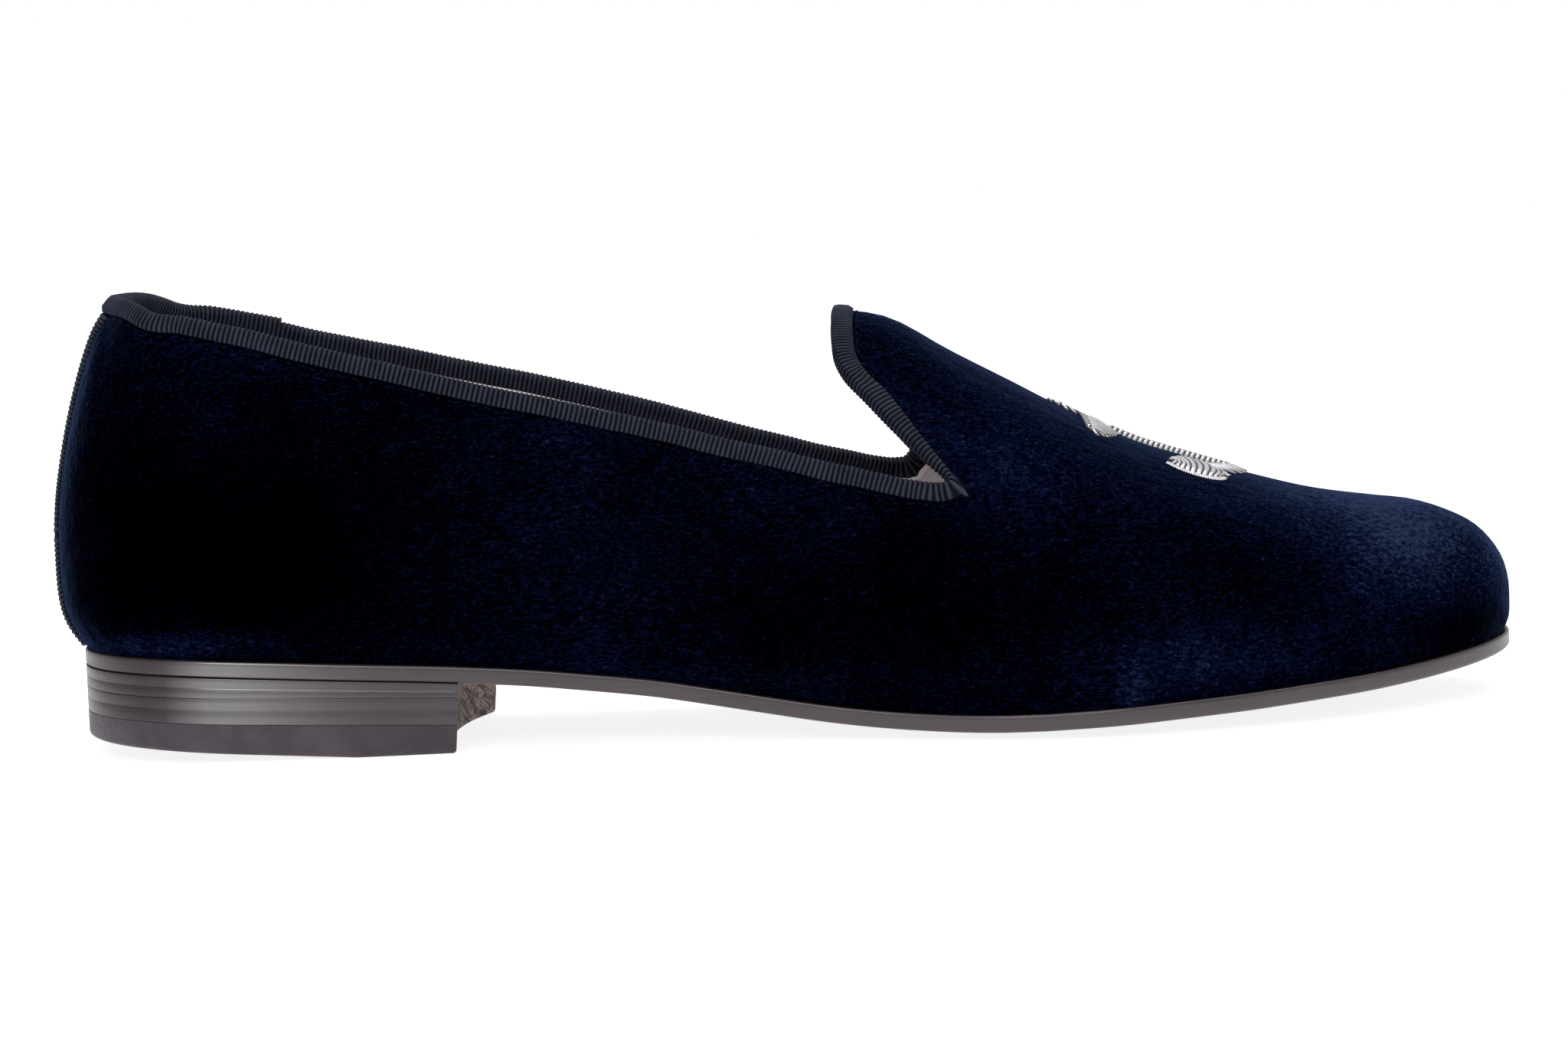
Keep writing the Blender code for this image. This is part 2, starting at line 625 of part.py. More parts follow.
def build_back_strip(material):
    """Grosgrain strip over the back seam, from under the binding down to the sole."""
    tau = np.linspace(0.0, STRIP_REACH, STRIP_STEPS)
    top = float(depth_rows(-1, 0.0, np.array([0.0, -1.0, 0.0]), [RIBBON_DEPTH + GAP])[0])
    offsets = np.linspace(-0.5, 0.5, STRIP_COLUMNS) * STRIP_WIDTH
    inner_face, outer_face = [], []
    for v in np.linspace(STRIP_FOOT, top, STRIP_ROWS):
        face = {}
        for side in (-1, 1):
            reach = np.abs(upper_surface(side, tau, v)[:, 1])
            face[side] = np.interp(np.abs(offsets), reach, tau)
        row_in, row_out = [], []
        for k, offset in enumerate(offsets):
            side = -1 if offset < 0 else 1
            t = float(face[side][k])
            point = upper_surface(side, t, v)
            normal = wall_normal(side, max(t, PROBE), v)
            if t < PROBE:
                normal = unit(normal * (1.0, 0.0, 1.0))
            row_in.append(point + normal * GAP)
            row_out.append(point + normal * (GAP + STRIP_THICKNESS))
        inner_face.append(row_in)
        outer_face.append(row_out)
    return slab("back_strip", material, np.array(outer_face), np.array(inner_face))


def sole_top(s, across):
    return sole_bottom(s, across) + SOLE_THICKNESS


def build_outsole(material):
    """Leather sole with its toe spring, crown and flat tread, its lower corner taken off."""
    ground = Plan(SOLE.back + EDGE_CHAMFER, SOLE.tip - EDGE_CHAMFER, margin=SOLE.margin - EDGE_CHAMFER)
    top = plan_grid(SOLE, sole_top)
    belt = plan_grid(SOLE, lambda s, across: sole_bottom(s, across) + EDGE_CHAMFER)
    return slab("outsole", material, top, plan_grid(ground, sole_bottom), belts=(belt,))


def build_insole(material):
    """Sock and insole in one: fills the plan inside the wall, a clearance above the sole."""
    def underside(s, across):
        return sole_top(s, across) + GAP

    def face(s, across):
        return underside(s, across) + INSOLE_THICKNESS

    return slab("insole", material, plan_grid(INSOLE, face), plan_grid(INSOLE, underside))


def breast_line(depth):
    """Front of the heel as a line across: skewed, hollow, and further back lower down."""
    def line(across):
        hollow = BREAST_HOLLOW * (1.0 - across**2)
        return SOLE.back + HEEL_LENGTH + BREAST_SKEW * (across + 1.0) / 2.0 - hollow - BREAST_RAKE * depth

    return line


def build_heel(materials):
    """The heel's layers, each a clearance below the one above, cut to the sole's own plan."""
    front = SOLE.back + HEEL_LENGTH

    def seat(s, across):
        return sole_bottom(s, across)

    def sloped(back, ahead):
        """A level that runs straight from the back of the heel to its breast."""
        return lambda s, across: back + (ahead - back) * (s - SOLE.back) / (front - SOLE.back)

    lift_joint = sloped(
        float(seat(SOLE.back, 0.0)) - UPPER_LIFT_BACK, float(seat(front, 0.0)) - UPPER_LIFT_FRONT
    )
    top_joint = sloped(TOP_PIECE_BACK, TOP_PIECE_FRONT)

    def ground(s, across):
        """The floor, and off it towards the back edge."""
        return HEEL_ROCKER * np.clip(1.0 - (s - SOLE.back) / HEEL_ROCKER_REACH, 0.0, 1.0) ** ROCKER_ROUND

    layers = (
        ("heel_lift_upper", "sole_leather", seat, lift_joint),
        ("heel_lift_lower", "sole_leather", lift_joint, top_joint),
        ("heel_top_piece", "top_piece_rubber", top_joint, ground),
    )
    heel = []
    for (name, finish, above, below), start, end in zip(layers, LIFT_DEPTHS, LIFT_DEPTHS[1:]):
        def upper_face(s, across, level=above):
            return level(s, across) - GAP

        top = plan_grid(SOLE, upper_face, HEEL_ALONG, HEEL_ACROSS, end=breast_line(start))
        bottom = plan_grid(SOLE, below, HEEL_ALONG, HEEL_ACROSS, end=breast_line(end))
        heel.append(slab(name, materials[finish], top, bottom))
    return heel


def make_materials():
    made = {}
    for name, (colour, roughness) in MATERIALS.items():
        material = bpy.data.materials.new(name)
        material.use_nodes = True
        shader = material.node_tree.nodes["Principled BSDF"]
        shader.inputs["Base Color"].default_value = (*colour, 1.0)
        shader.inputs["Roughness"].default_value = roughness
        shader.inputs["Metallic"].default_value = 0.0
        made[name] = material
    return made


def main():
    for leftover in list(bpy.data.objects):
        bpy.data.objects.remove(leftover)
    materials = make_materials()
    parts = [
        build_upper(materials["velvet"]),
        build_binding(materials["ribbon"]),
        build_back_strip(materials["ribbon"]),
        build_insole(materials["lining_leather"]),
        build_outsole(materials["sole_leather"]),
    ]
    parts += build_heel(materials)

    s = np.linspace(SOLE.back, SOLE.tip, 600)
    outer = min(SOLE.edge(s, -1).min(), GIRTH.edge(s, -1).min())
    inner = max(SOLE.edge(s, 1).max(), GIRTH.edge(s, 1).max())
    shoe = bpy.data.objects.new("shoe", None)
    rear = GIRTH.back - GAP - STRIP_THICKNESS
    front = max(SOLE.tip, GIRTH.tip)
    shoe.location = (-(rear + front) / 2.0, -(outer + inner) / 2.0, 0.0)
    collection = bpy.data.collections.new("velvet_slipper_loafer")
    bpy.context.scene.collection.children.link(collection)
    collection.objects.link(shoe)
    for part in parts:
        collection.objects.link(part)
        part.parent = shoe


main()
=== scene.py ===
import math

import bmesh
import bpy
import numpy as np
from mathutils import Matrix, Vector


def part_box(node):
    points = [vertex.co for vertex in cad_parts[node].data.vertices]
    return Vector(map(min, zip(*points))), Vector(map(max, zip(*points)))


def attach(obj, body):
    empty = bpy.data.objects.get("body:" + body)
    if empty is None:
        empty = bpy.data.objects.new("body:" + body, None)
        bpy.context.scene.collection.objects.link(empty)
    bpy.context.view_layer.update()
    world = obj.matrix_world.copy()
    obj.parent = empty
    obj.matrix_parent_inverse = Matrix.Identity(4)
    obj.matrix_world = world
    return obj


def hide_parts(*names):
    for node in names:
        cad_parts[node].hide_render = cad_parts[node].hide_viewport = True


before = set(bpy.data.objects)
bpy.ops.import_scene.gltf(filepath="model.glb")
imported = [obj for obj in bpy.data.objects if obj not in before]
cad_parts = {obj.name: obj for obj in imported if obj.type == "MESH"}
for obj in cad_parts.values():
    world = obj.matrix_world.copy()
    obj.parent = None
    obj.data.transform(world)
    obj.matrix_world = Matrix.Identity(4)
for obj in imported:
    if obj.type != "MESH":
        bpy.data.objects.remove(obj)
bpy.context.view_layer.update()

# Velvet slipper loafer, right shoe: toe along +X, outer side towards -Y, metres throughout.
# Every piece is worked out from one last, in its own frame: s runs from the back of the
# counter to the tip, y across, z up from the floor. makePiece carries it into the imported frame.

last = {
    "length": 0.2836,
    "ballWidth": 0.0952,
    "heelWidth": 0.06,
    "backRise": 0.0662,
    "instepRise": 0.0738,
    "girthRise": 0.0207,
    "backOverhang": 0.0044,
    "sideBulge": 0.004,
    "backLean": 0.0129,
    "innerSetBack": 0.0034,
    "setBackStart": 0.35,
    "setBackPower": 14,
    "innerRise": 0.0014,
    "riseStart": 0.1,
    "riseFull": 0.32,
    "riseFall": 0.33,
    "tongueTurn": 0.0021,
    "seatLift": 0.0167,
    "toeSpring": 0.0098,
    "crown": 0.0025,
    "treadFlat": 0.0009,
    "wall": 0.002,
    "gap": 0.0003,
    "soleThickness": 0.0033,
    "soleLip": 0.001,
    "heelLip": 0.0005,
    "waistStart": 0.4,
    "ballStart": 0.64,
    "heelEnd": 0.034,
    "heelSquareness": 2.25,
    "toeEnd": 0.06,
    "toeSquareness": 2.3,
    "throatStart": 0.66,
    "rowSweep": 2.3,
    "bandRoll": (5, 1.3),
}
# Stations of the plan: share of the length, swing of the ridge, half-widths outer and inner,
# bulges outer and inner, share of the girth's rise, roundness of the section up and across
stationNames = ("swing", "outer", "inner", "outerBulge", "innerBulge", "girth", "risePower", "widthPower")
stationRows = np.array([
    (0, 0, 0.5, 0.5, 0.75, 0.75, 1, 2, 2),
    (0.125, 0, 0.5, 0.5, 0.8, 0.8, 0.93, 2, 2),
    (0.21, 0, 0.504, 0.488, 0.85, 0.9, 0.88, 2, 2),
    (0.3, 0, 0.494, 0.44, 0.95, 1.25, 0.83, 2, 2),
    (0.4, 0.006, 0.5, 0.375, 1.05, 1.75, 0.81, 1.95, 2),
    (0.49, 0.02, 0.496, 0.335, 0.95, 1.7, 0.81, 1.92, 2),
    (0.575, 0.036, 0.484, 0.368, 0.6, 0.9, 0.8, 1.85, 2),
    (0.645, 0.045, 0.52, 0.424, 0.35, 0.42, 0.76, 1.82, 2.02),
    (0.7, 0.048, 0.545, 0.453, 0.26, 0.28, 0.71, 1.82, 2.06),
    (0.75, 0.05, 0.531, 0.458, 0.24, 0.24, 0.66, 1.84, 2.1),
    (0.8, 0.052, 0.498, 0.444, 0.22, 0.22, 0.6, 1.88, 2.16),
    (0.855, 0.053, 0.458, 0.42, 0.2, 0.2, 0.53, 1.96, 2.22),
    (0.9, 0.054, 0.424, 0.396, 0.19, 0.19, 0.47, 2.05, 2.28),
    (0.945, 0.053, 0.392, 0.374, 0.18, 0.18, 0.41, 2.15, 2.3),
    (1, 0.052, 0.352, 0.342, 0.17, 0.17, 0.33, 2.2, 2.3),
])
# Curves along the last, each as (share of the length, share of its rise)
seatRows = np.array([
    (0, 1.04), (0.1, 0.98), (0.176, 0.905), (0.276, 0.79), (0.317, 0.722), (0.357, 0.63), (0.397, 0.525),
    (0.437, 0.395), (0.476, 0.275), (0.517, 0.162), (0.556, 0.082), (0.594, 0.034), (0.633, 0.006),
    (0.675, 0),
])
springRows = np.array([
    (0.66, 0), (0.714, 0.066), (0.755, 0.14), (0.797, 0.217), (0.84, 0.326), (0.884, 0.453),
    (0.931, 0.642), (0.965, 0.806), (1, 1),
])
crownRows = np.array([
    (0, 0), (0.3, 0), (0.4, 0.21), (0.5, 0.49), (0.58, 0.72), (0.66, 1), (0.8, 0.94), (0.9, 0.73), (1, 0.46),
])
ridgeRows = np.array([
    (0.084, 1.075), (0.157, 1.2), (0.28, 1.18), (0.385, 1.08), (0.472, 1.005), (0.5175, 0.988),
    (0.545, 0.995), (0.575, 0.98), (0.6165, 0.892), (0.658, 0.803), (0.7, 0.705), (0.741, 0.618),
    (0.783, 0.554), (0.825, 0.493), (0.87, 0.436), (0.912, 0.397), (0.9375, 0.373), (0.9595, 0.335),
    (0.9775, 0.289), (0.99, 0.2325), (0.997, 0.1805),
])
quarterRows = np.array([
    (0.074, 0.977), (0.103, 0.96), (0.156, 0.918), (0.2, 0.876), (0.245, 0.836), (0.289, 0.798),
    (0.333, 0.77), (0.377, 0.745), (0.422, 0.725), (0.466, 0.704), (0.513, 0.683), (0.555, 0.659),
    (0.578, 0.643), (0.594, 0.637), (0.6035, 0.646),
])
# The counter's back as (share of its rise, share of its lean), the tongue's edge as (share of the
# length, share of the half-width)
backRows = np.array([
    (0.365, 0.025), (0.49, 0.095), (0.615, 0.22), (0.745, 0.39), (0.87, 0.6), (0.94, 0.76), (1, 1),
])
tongueRows = np.array([
    (0.602, 0.828), (0.591, 0.803), (0.5795, 0.773), (0.567, 0.732), (0.5524, 0.661), (0.5405, 0.587),
    (0.5352, 0.51), (0.5345, 0.4), (0.5352, 0.285), (0.5372, 0.14), (0.5384, 0),
])
throatTurn = math.acos(1 - 2 * last["throatStart"]) / math.pi
pathSteps = 16
probe = 0.004  # step in u and v for slopes
sunk = 0.00005  # how far hidden faces lie inside what they cover


# Cubic through the values, each slope taken from the neighbours on both sides
def smooth(at, knots, values):
    at, knots, values = (np.asarray(a, float) for a in (at, knots, values))
    slopes = np.gradient(values, knots)
    i = np.clip(np.searchsorted(knots, at) - 1, 0, len(knots) - 2)
    span = knots[i + 1] - knots[i]
    t = np.clip((at - knots[i]) / span, 0, 1)
    start = (2 * t**3 - 3 * t**2 + 1) * values[i] + (t**3 - 2 * t**2 + t) * span * slopes[i]
    end = (3 * t**2 - 2 * t**3) * values[i + 1] + (t**3 - t**2) * span * slopes[i + 1]
    return start + end


def stationAt(name, s):  # one column of the stations at distance s
    column = stationRows[:, 1 + stationNames.index(name)]
    return smooth(np.asarray(s) / last["length"], stationRows[:, 0], column)


def mixed(a, b, share):
    return a + (b - a) * share


def asPoints(*columns):
    return np.stack(columns, axis=-1)


def smoothStep(t):  # 3t^2 - 2t^3, held between 0 and 1
    t = np.clip(t, 0, 1)
    return t * t * (3 - 2 * t)


def blendAlong(s, start, end):  # smooth step between two shares of the length
    return smoothStep((np.asarray(s) / last["length"] - start) / (end - start))


# Smooth dense path through points, its knots spaced by the square roots of the chords
def pathThrough(points):
    points = np.asarray(points, float)
    chords = np.sqrt(np.linalg.norm(np.diff(points, axis=0), axis=1))
    knots = np.concatenate(([0], np.cumsum(chords)))
    pieces = [np.linspace(a, b, pathSteps, endpoint=False) for a, b in zip(knots, knots[1:])]
    at = np.concatenate(pieces + [knots[-1:]])
    return np.stack([smooth(at, knots, column) for column in points.T], axis=-1)


def reachAlong(path):  # length run from the path's start to each of its points
    steps = np.linalg.norm(np.diff(path, axis=0), axis=1)
    return np.concatenate(([0], np.cumsum(steps)))


def alongPath(path, share):  # point at a share of the path's length
    reach = reachAlong(path)
    at = np.asarray(share) * reach[-1]
    return np.stack([np.interp(at, reach, column) for column in path.T], axis=-1)


def unit(vectors):
    return vectors / np.maximum(np.linalg.norm(vectors, axis=-1, keepdims=True), 1e-12)


def swing(s):
    return stationAt("swing", s) * last["ballWidth"]


# Share of the width left by the rounded ends: a quarter of a squared ellipse at each
def endRounding(s, back, tip):
    heel = np.clip(1 - (s - back) / last["heelEnd"], 0, 1)
    toe = np.clip(1 - (tip - s) / last["toeEnd"], 0, 1)
    a, b = last["heelSquareness"], last["toeSquareness"]
    return (1 - heel**a) ** (1 / a) * (1 - toe**b) ** (1 / b)


# Half-width of a plan at s: the seam's share of the width plus a margin, times the rounding
def halfWidth(plan, s, side):
    s = np.clip(s, plan["back"], plan["tip"])
    grow = blendAlong(s, last["waistStart"], last["ballStart"])
    width = mixed(last["heelWidth"], last["ballWidth"], grow)
    share = np.where(side < 0, stationAt("outer", s), stationAt("inner", s))
    extra = plan["margin"]
    if plan["bulging"]:
        bulge = np.where(side < 0, stationAt("outerBulge", s), stationAt("innerBulge", s))
        extra = bulge * last["sideBulge"]
    return (share * width + extra) * endRounding(s, plan["back"], plan["tip"])


def edgeY(plan, s, side):
    return swing(np.clip(s, plan["back"], plan["tip"])) + side * halfWidth(plan, s, side)


def makePlan(back, tip, margin=0, bulging=False):
    return {"back": back, "tip": tip, "margin": margin, "bulging": bulging}


def shrunk(plan, inset):  # the same outline drawn in by an inset all round
    return makePlan(plan["back"] + inset, plan["tip"] - inset, plan["margin"] - inset)


insoleRoom = last["wall"] + 0.0007
seamPlan = makePlan(last["backOverhang"], last["length"] - last["soleLip"])
girthPlan = makePlan(0, last["length"] + 0.25 * last["soleLip"], bulging=True)
solePlan = makePlan(seamPlan["back"] - last["heelLip"], last["length"], last["soleLip"])
insolePlan = shrunk(seamPlan, insoleRoom)


# Underside of the sole: seat and spring curves less the tread's flat, edges lifted by across^2
def soleBottom(s, across):
    along = np.asarray(s) / last["length"]
    middle = last["seatLift"] * smooth(along, *seatRows.T) + last["toeSpring"] * smooth(along, *springRows.T)
    middle = middle - last["treadFlat"] * blendAlong(s, last["waistStart"], last["ballStart"])
    edges = last["crown"] * smooth(along, *crownRows.T) * np.asarray(across) ** 2
    return np.maximum(middle + edges, 0)


def fullnessOf(plan, s):
    return endRounding(np.clip(s, plan["back"], plan["tip"]), plan["back"], plan["tip"])


def soleUnder(s, y):  # the underside over any point of the sole's plan
    side = np.where(y < swing(s), -1, 1)
    full = np.maximum(halfWidth(solePlan, s, side) / np.maximum(fullnessOf(solePlan, s), 1e-3), 1e-6)
    return soleBottom(s, np.clip(np.abs(y - swing(s)) / full, 0, 1))


def soleOver(s, y):
    return soleUnder(s, y) + last["soleThickness"]


def seamHeight(s):
    return soleBottom(s, fullnessOf(seamPlan, s)) + last["soleThickness"] + last["gap"]


def girthHeight(s):
    return seamHeight(s) + last["girthRise"] * stationAt("girth", s)


def makeRidge():  # line over the counter, the hidden crown, the instep and the toe
    back = backRows[:, ::-1] * (last["backLean"], last["backRise"])
    ridge = ridgeRows * (last["length"], last["instepRise"])
    rows = np.concatenate((back, ridge))
    rows[:, 1] += seamHeight(rows[:, 0])
    tip = girthPlan["tip"]
    path = pathThrough([(0, girthHeight(0)), *rows, (tip, girthHeight(tip))])
    path[:, 0] = np.maximum.accumulate(path[:, 0])
    return path


ridgePath = makeRidge()


def ridgeHeight(s):
    return np.interp(s, *ridgePath.T)


# Height of the last over its plan: girth + (ridge - girth) * (1 - share^p)^(1/q)
def lastHeight(s, y):
    side = np.where(y < swing(s), -1, 1)
    share = np.abs(y - swing(s)) / np.maximum(halfWidth(girthPlan, s, side), 1e-6)
    crest = 1 - np.clip(share, 0, 1) ** stationAt("widthPower", s)
    return mixed(girthHeight(s), ridgeHeight(s), crest ** (1 / stationAt("risePower", s)))


def shareAtHeight(s, z):  # the share of the half-width at which the last reaches z
    low = girthHeight(s)
    rise = np.clip((z - low) / (ridgeHeight(s) - low), 0, 1)
    return (1 - rise ** stationAt("risePower", s)) ** (1 / stationAt("widthPower", s))


# Plan of the topline on one side: back to throat corner, corner to tongue's peak. The inner side
# stands higher along the waist and lies further back at the throat.
def makeTopline(side):
    setBack, raised, turn = (last[key] * (side > 0) for key in ("innerSetBack", "innerRise", "tongueTurn"))
    throat = quarterRows[-1, 0]
    s = quarterRows[:, 0] * last["length"]
    kept = 1 - blendAlong(s, last["riseFall"], throat)
    height = quarterRows[:, 1] * last["backRise"]
    height = height + raised * kept * blendAlong(s, last["riseStart"], last["riseFull"])
    s = s - setBack * blendAlong(s, last["setBackStart"], throat)
    share = shareAtHeight(s, seamHeight(s) + height)
    low = tongueRows[:, 1] / share[-1]
    bow = turn * 6.75 * low**2 * (1 - low)  # 6.75 brings the bow's peak to one
    front = tongueRows[:, 0] * last["length"] - setBack * low ** last["setBackPower"] + bow
    s = np.concatenate(([last["backLean"]], s, front))
    share = np.concatenate(([0], share, tongueRows[:, 1]))
    s, share = np.concatenate((s[1:2], s, s[-2:-1])), np.concatenate((-share[1:2], share, -share[-2:-1]))
    points = asPoints(s, swing(s) + side * share * halfWidth(girthPlan, s, side))
    path = pathThrough(points)[pathSteps:-pathSteps]
    split = len(quarterRows) * pathSteps
    return path[: split + 1], path[split:]


topline = {side: makeTopline(side) for side in (-1, 1)}


def girthAlong(tau):  # where a grid line leaves the fullest line; tau 0 back, 1 throat, 2 tip
    turn = smooth(tau, (0, 1, 2), (0, throatTurn, 1))
    return girthPlan["tip"] * (1 - np.cos(math.pi * turn)) / 2


def girthShares(side, start, end):
    tau = np.linspace(start, end, 240)
    s = girthAlong(tau)
    reach = reachAlong(asPoints(s, edgeY(girthPlan, s, side)))
    return tau, reach / reach[-1]


sharesOf = {side: (girthShares(side, 0, 1), girthShares(side, 1, 2)) for side in (-1, 1)}


def toplinePoint(side, tau):  # topline point of a grid line, matched by shares of length
    parts = [alongPath(path, np.interp(tau, *shares)) for path, shares in zip(topline[side], sharesOf[side])]
    both = np.where((tau <= 1)[..., None], *parts)
    return both[..., 0], both[..., 1]


# Outer face of the upper: a rolled band from seam to girth (v 0 to 1), then the last above it
def upperSurface(side, tau, v):
    tau, v = np.broadcast_arrays(np.asarray(tau, float), np.asarray(v, float))
    sGirth = girthAlong(tau)
    yGirth = edgeY(girthPlan, sGirth, side)
    sSeam = mixed(seamPlan["back"], seamPlan["tip"], sGirth / girthPlan["tip"])
    climb = np.clip(v, 0, 1)
    steep, soft = last["bandRoll"]
    out = (1 - (1 - climb) ** steep) ** soft
    lowS, lowY = mixed(sSeam, sGirth, out), mixed(edgeY(seamPlan, sSeam, side), yGirth, out)
    low = asPoints(lowS, lowY, mixed(seamHeight(sSeam), girthHeight(sGirth), climb))
    sweep = last["rowSweep"]
    inward = (1 - np.cos(np.clip(v - 1, 0, 1) * sweep)) / (1 - math.cos(sweep))
    sTop, yTop = toplinePoint(side, tau)
    highS, highY = mixed(sGirth, sTop, inward), mixed(yGirth, yTop, inward)
    high = asPoints(highS, highY, lastHeight(highS, highY))
    return np.where((v > 1)[..., None], high, low)


# Both sides in one loop: u 0 to 2 is the outer side from back to tip, 2 to 4 the inner one back
def upperAt(u, v):
    u, v = np.broadcast_arrays(np.asarray(u, float) % 4, np.asarray(v, float))
    tau = np.where(u <= 2, u, 4 - u)
    return np.where((u <= 2)[..., None], upperSurface(-1, tau, v), upperSurface(1, tau, v))


def upperNormal(u, v):  # cross product of the steps along u and along v
    along = upperAt(u + probe, v) - upperAt(u - probe, v)
    return unit(np.cross(along, upperAt(u, v + probe) - upperAt(u, v - probe)))


print("last worked out")

# Where the last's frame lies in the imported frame
spread = np.linspace(solePlan["back"], solePlan["tip"], 600)
outerReach = min(edgeY(plan, spread, -1).min() for plan in (solePlan, girthPlan))
innerReach = max(edgeY(plan, spread, 1).max() for plan in (solePlan, girthPlan))
shift = np.array([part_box("outsole")[1][0] - last["length"], -(outerReach + innerReach) / 2, 0])


# Quads of a grid of points, row after row; a wrapped direction joins its end to its start
def gridQuads(rows, columns, wrapRows=False, wrapColumns=False, first=0):
    i, j = np.meshgrid(np.arange(rows - 1 + wrapRows), np.arange(columns - 1 + wrapColumns), indexing="ij")
    n, m = (i + 1) % rows, (j + 1) % columns
    corners = [i * columns + j, n * columns + j, n * columns + m, i * columns + m]
    return first + np.stack(corners, axis=-1).reshape(-1, 4)


# Closed skin between two equal grids: both faces plus a strip round their border
def shellQuads(rows, columns):
    count = rows * columns
    border = np.concatenate((
        np.arange(rows) * columns,
        (rows - 1) * columns + np.arange(1, columns),
        np.arange(rows - 2, -1, -1) * columns + columns - 1,
        np.arange(columns - 2, 0, -1),
    ))
    after = np.roll(border, -1)
    strip = asPoints(border, after, after + count, border + count)
    return np.concatenate((gridQuads(rows, columns), gridQuads(rows, columns, first=count)[:, ::-1], strip))


def linkObject(name, data):
    made = bpy.data.objects.new(name, data)
    bpy.context.scene.collection.objects.link(made)
    return made


# One finished piece: points moved into the frame, doubles merged, faces turned outwards
def makePiece(name, points, quads, materials, slot, replaced=None, faceSlots=None, uv=None, **values):
    points = np.asarray(points, float).reshape(-1, 3) + shift
    mesh = bpy.data.meshes.new(name)
    mesh.vertices.add(len(points))
    mesh.vertices.foreach_set("co", points.astype(np.float32).ravel())
    mesh.loops.add(quads.size)
    mesh.loops.foreach_set("vertex_index", quads.astype(np.int32).ravel())
    mesh.polygons.add(len(quads))
    mesh.polygons.foreach_set("loop_start", np.arange(0, quads.size, 4, dtype=np.int32))
    if faceSlots is not None:
        mesh.polygons.foreach_set("material_index", np.asarray(faceSlots, np.int32))
    mesh.update(calc_edges=True)
    if uv is not None:
        layer = mesh.uv_layers.new(name="UVMap")
        layer.data.foreach_set("uv", uv.reshape(-1, 2)[quads.ravel()].astype(np.float32).ravel())
    for key, value in values.items():
        layer = mesh.attributes.new(key, "FLOAT", "POINT")
        layer.data.foreach_set("value", value.astype(np.float32).ravel())
    cage = bmesh.new()
    cage.from_mesh(mesh)
    bmesh.ops.remove_doubles(cage, verts=cage.verts, dist=0.000002)
    bmesh.ops.recalc_face_normals(cage, faces=cage.faces)
    cage.to_mesh(mesh)
    cage.free()
    mesh.shade_smooth()
    mesh.set_sharp_from_angle(angle=math.radians(48))
    for material in materials:
        mesh.materials.append(material)
    piece = linkObject(name, mesh)
    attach(piece, "root")
    if replaced:
        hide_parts(replaced)
    print("made", name, len(mesh.polygons), "faces")


# Materials. A socket knows its own tree, so only nodes without a socket to start from are told it.


def setInputs(node, inputs):  # sockets are linked, and plain values set
    for key, value in inputs.items():
        if isinstance(value, bpy.types.NodeSocket):
            value.id_data.links.new(value, node.inputs[key])
        else:
            node.inputs[key].default_value = value


def addNode(tree, kind, inputs=None, **settings):
    made = tree.nodes.new("ShaderNode" + kind)
    for key, value in settings.items():
        setattr(made, key, value)
    setInputs(made, inputs or {})
    return made


def weighted(*terms, start=0):  # sum of the sockets, each times its weight
    total = start
    for socket, weight in terms:
        inputs = {0: socket, 1: weight, 2: total}
        total = addNode(socket.id_data, "Math", inputs, operation="MULTIPLY_ADD").outputs[0]
    return total


def between(value, low, high, toLow=0, toHigh=1):  # smooth map from one range to another
    inputs = {"Value": value, "From Min": low, "From Max": high, "To Min": toLow, "To Max": toHigh}
    return addNode(value.id_data, "MapRange", inputs, interpolation_type="SMOOTHSTEP").outputs["Result"]


def mixColour(mask, first, second):
    ends = [(*c, 1) if isinstance(c, tuple) else c for c in (first, second)]
    made = addNode(mask.id_data, "Mix", data_type="RGBA")
    setInputs(made, {0: mask, 6: ends[0], 7: ends[1]})
    return made.outputs[2]


def stretched(vector, scale, turn=(0, 0, 0)):  # a vector turned, then scaled each way
    if any(turn):
        vector = addNode(vector.id_data, "Mapping", {"Vector": vector, "Rotation": turn}).outputs["Vector"]
    return addNode(vector.id_data, "Mapping", {"Vector": vector, "Scale": scale}).outputs["Vector"]


def noise(vector, scale, detail=2, roughness=0.6, distortion=0):
    inputs = {
        "Vector": vector, "Scale": scale, "Detail": detail, "Roughness": roughness, "Distortion": distortion,
    }
    return addNode(vector.id_data, "TexNoise", inputs).outputs["Fac"]


def attribute(vector, name):
    return addNode(vector.id_data, "Attribute", attribute_name=name).outputs["Fac"]


def makeLeatherGrain():  # pebbles from a Voronoi, pores from fine noise, mottle from broad noise
    group = bpy.data.node_groups.new("leatherGrain", "ShaderNodeTree")
    sockets = {"Vector": ("Vector", (0, 0, 0)), "Pebble": ("Float", 900), "Mottle": ("Float", 60)}
    for key, (kind, value) in sockets.items():
        socket = group.interface.new_socket(name=key, in_out="INPUT", socket_type="NodeSocket" + kind)
        socket.default_value = value
    for key in ("Height", "Mottle", "Pores"):
        group.interface.new_socket(name=key, in_out="OUTPUT", socket_type="NodeSocketFloat")
    source = group.nodes.new("NodeGroupInput").outputs
    place, pebble = source["Vector"], source["Pebble"]
    cells = addNode(group, "TexVoronoi", {"Vector": place, "Scale": pebble}, feature="SMOOTH_F1")
    pores = noise(place, weighted((pebble, 2.7)))
    setInputs(group.nodes.new("NodeGroupOutput"), {
        "Height": weighted((cells.outputs["Distance"], -0.8), (pores, 0.5)),
        "Mottle": noise(place, source["Mottle"], 4),
        "Pores": pores,
    })
    return group


leatherGrain = makeLeatherGrain()


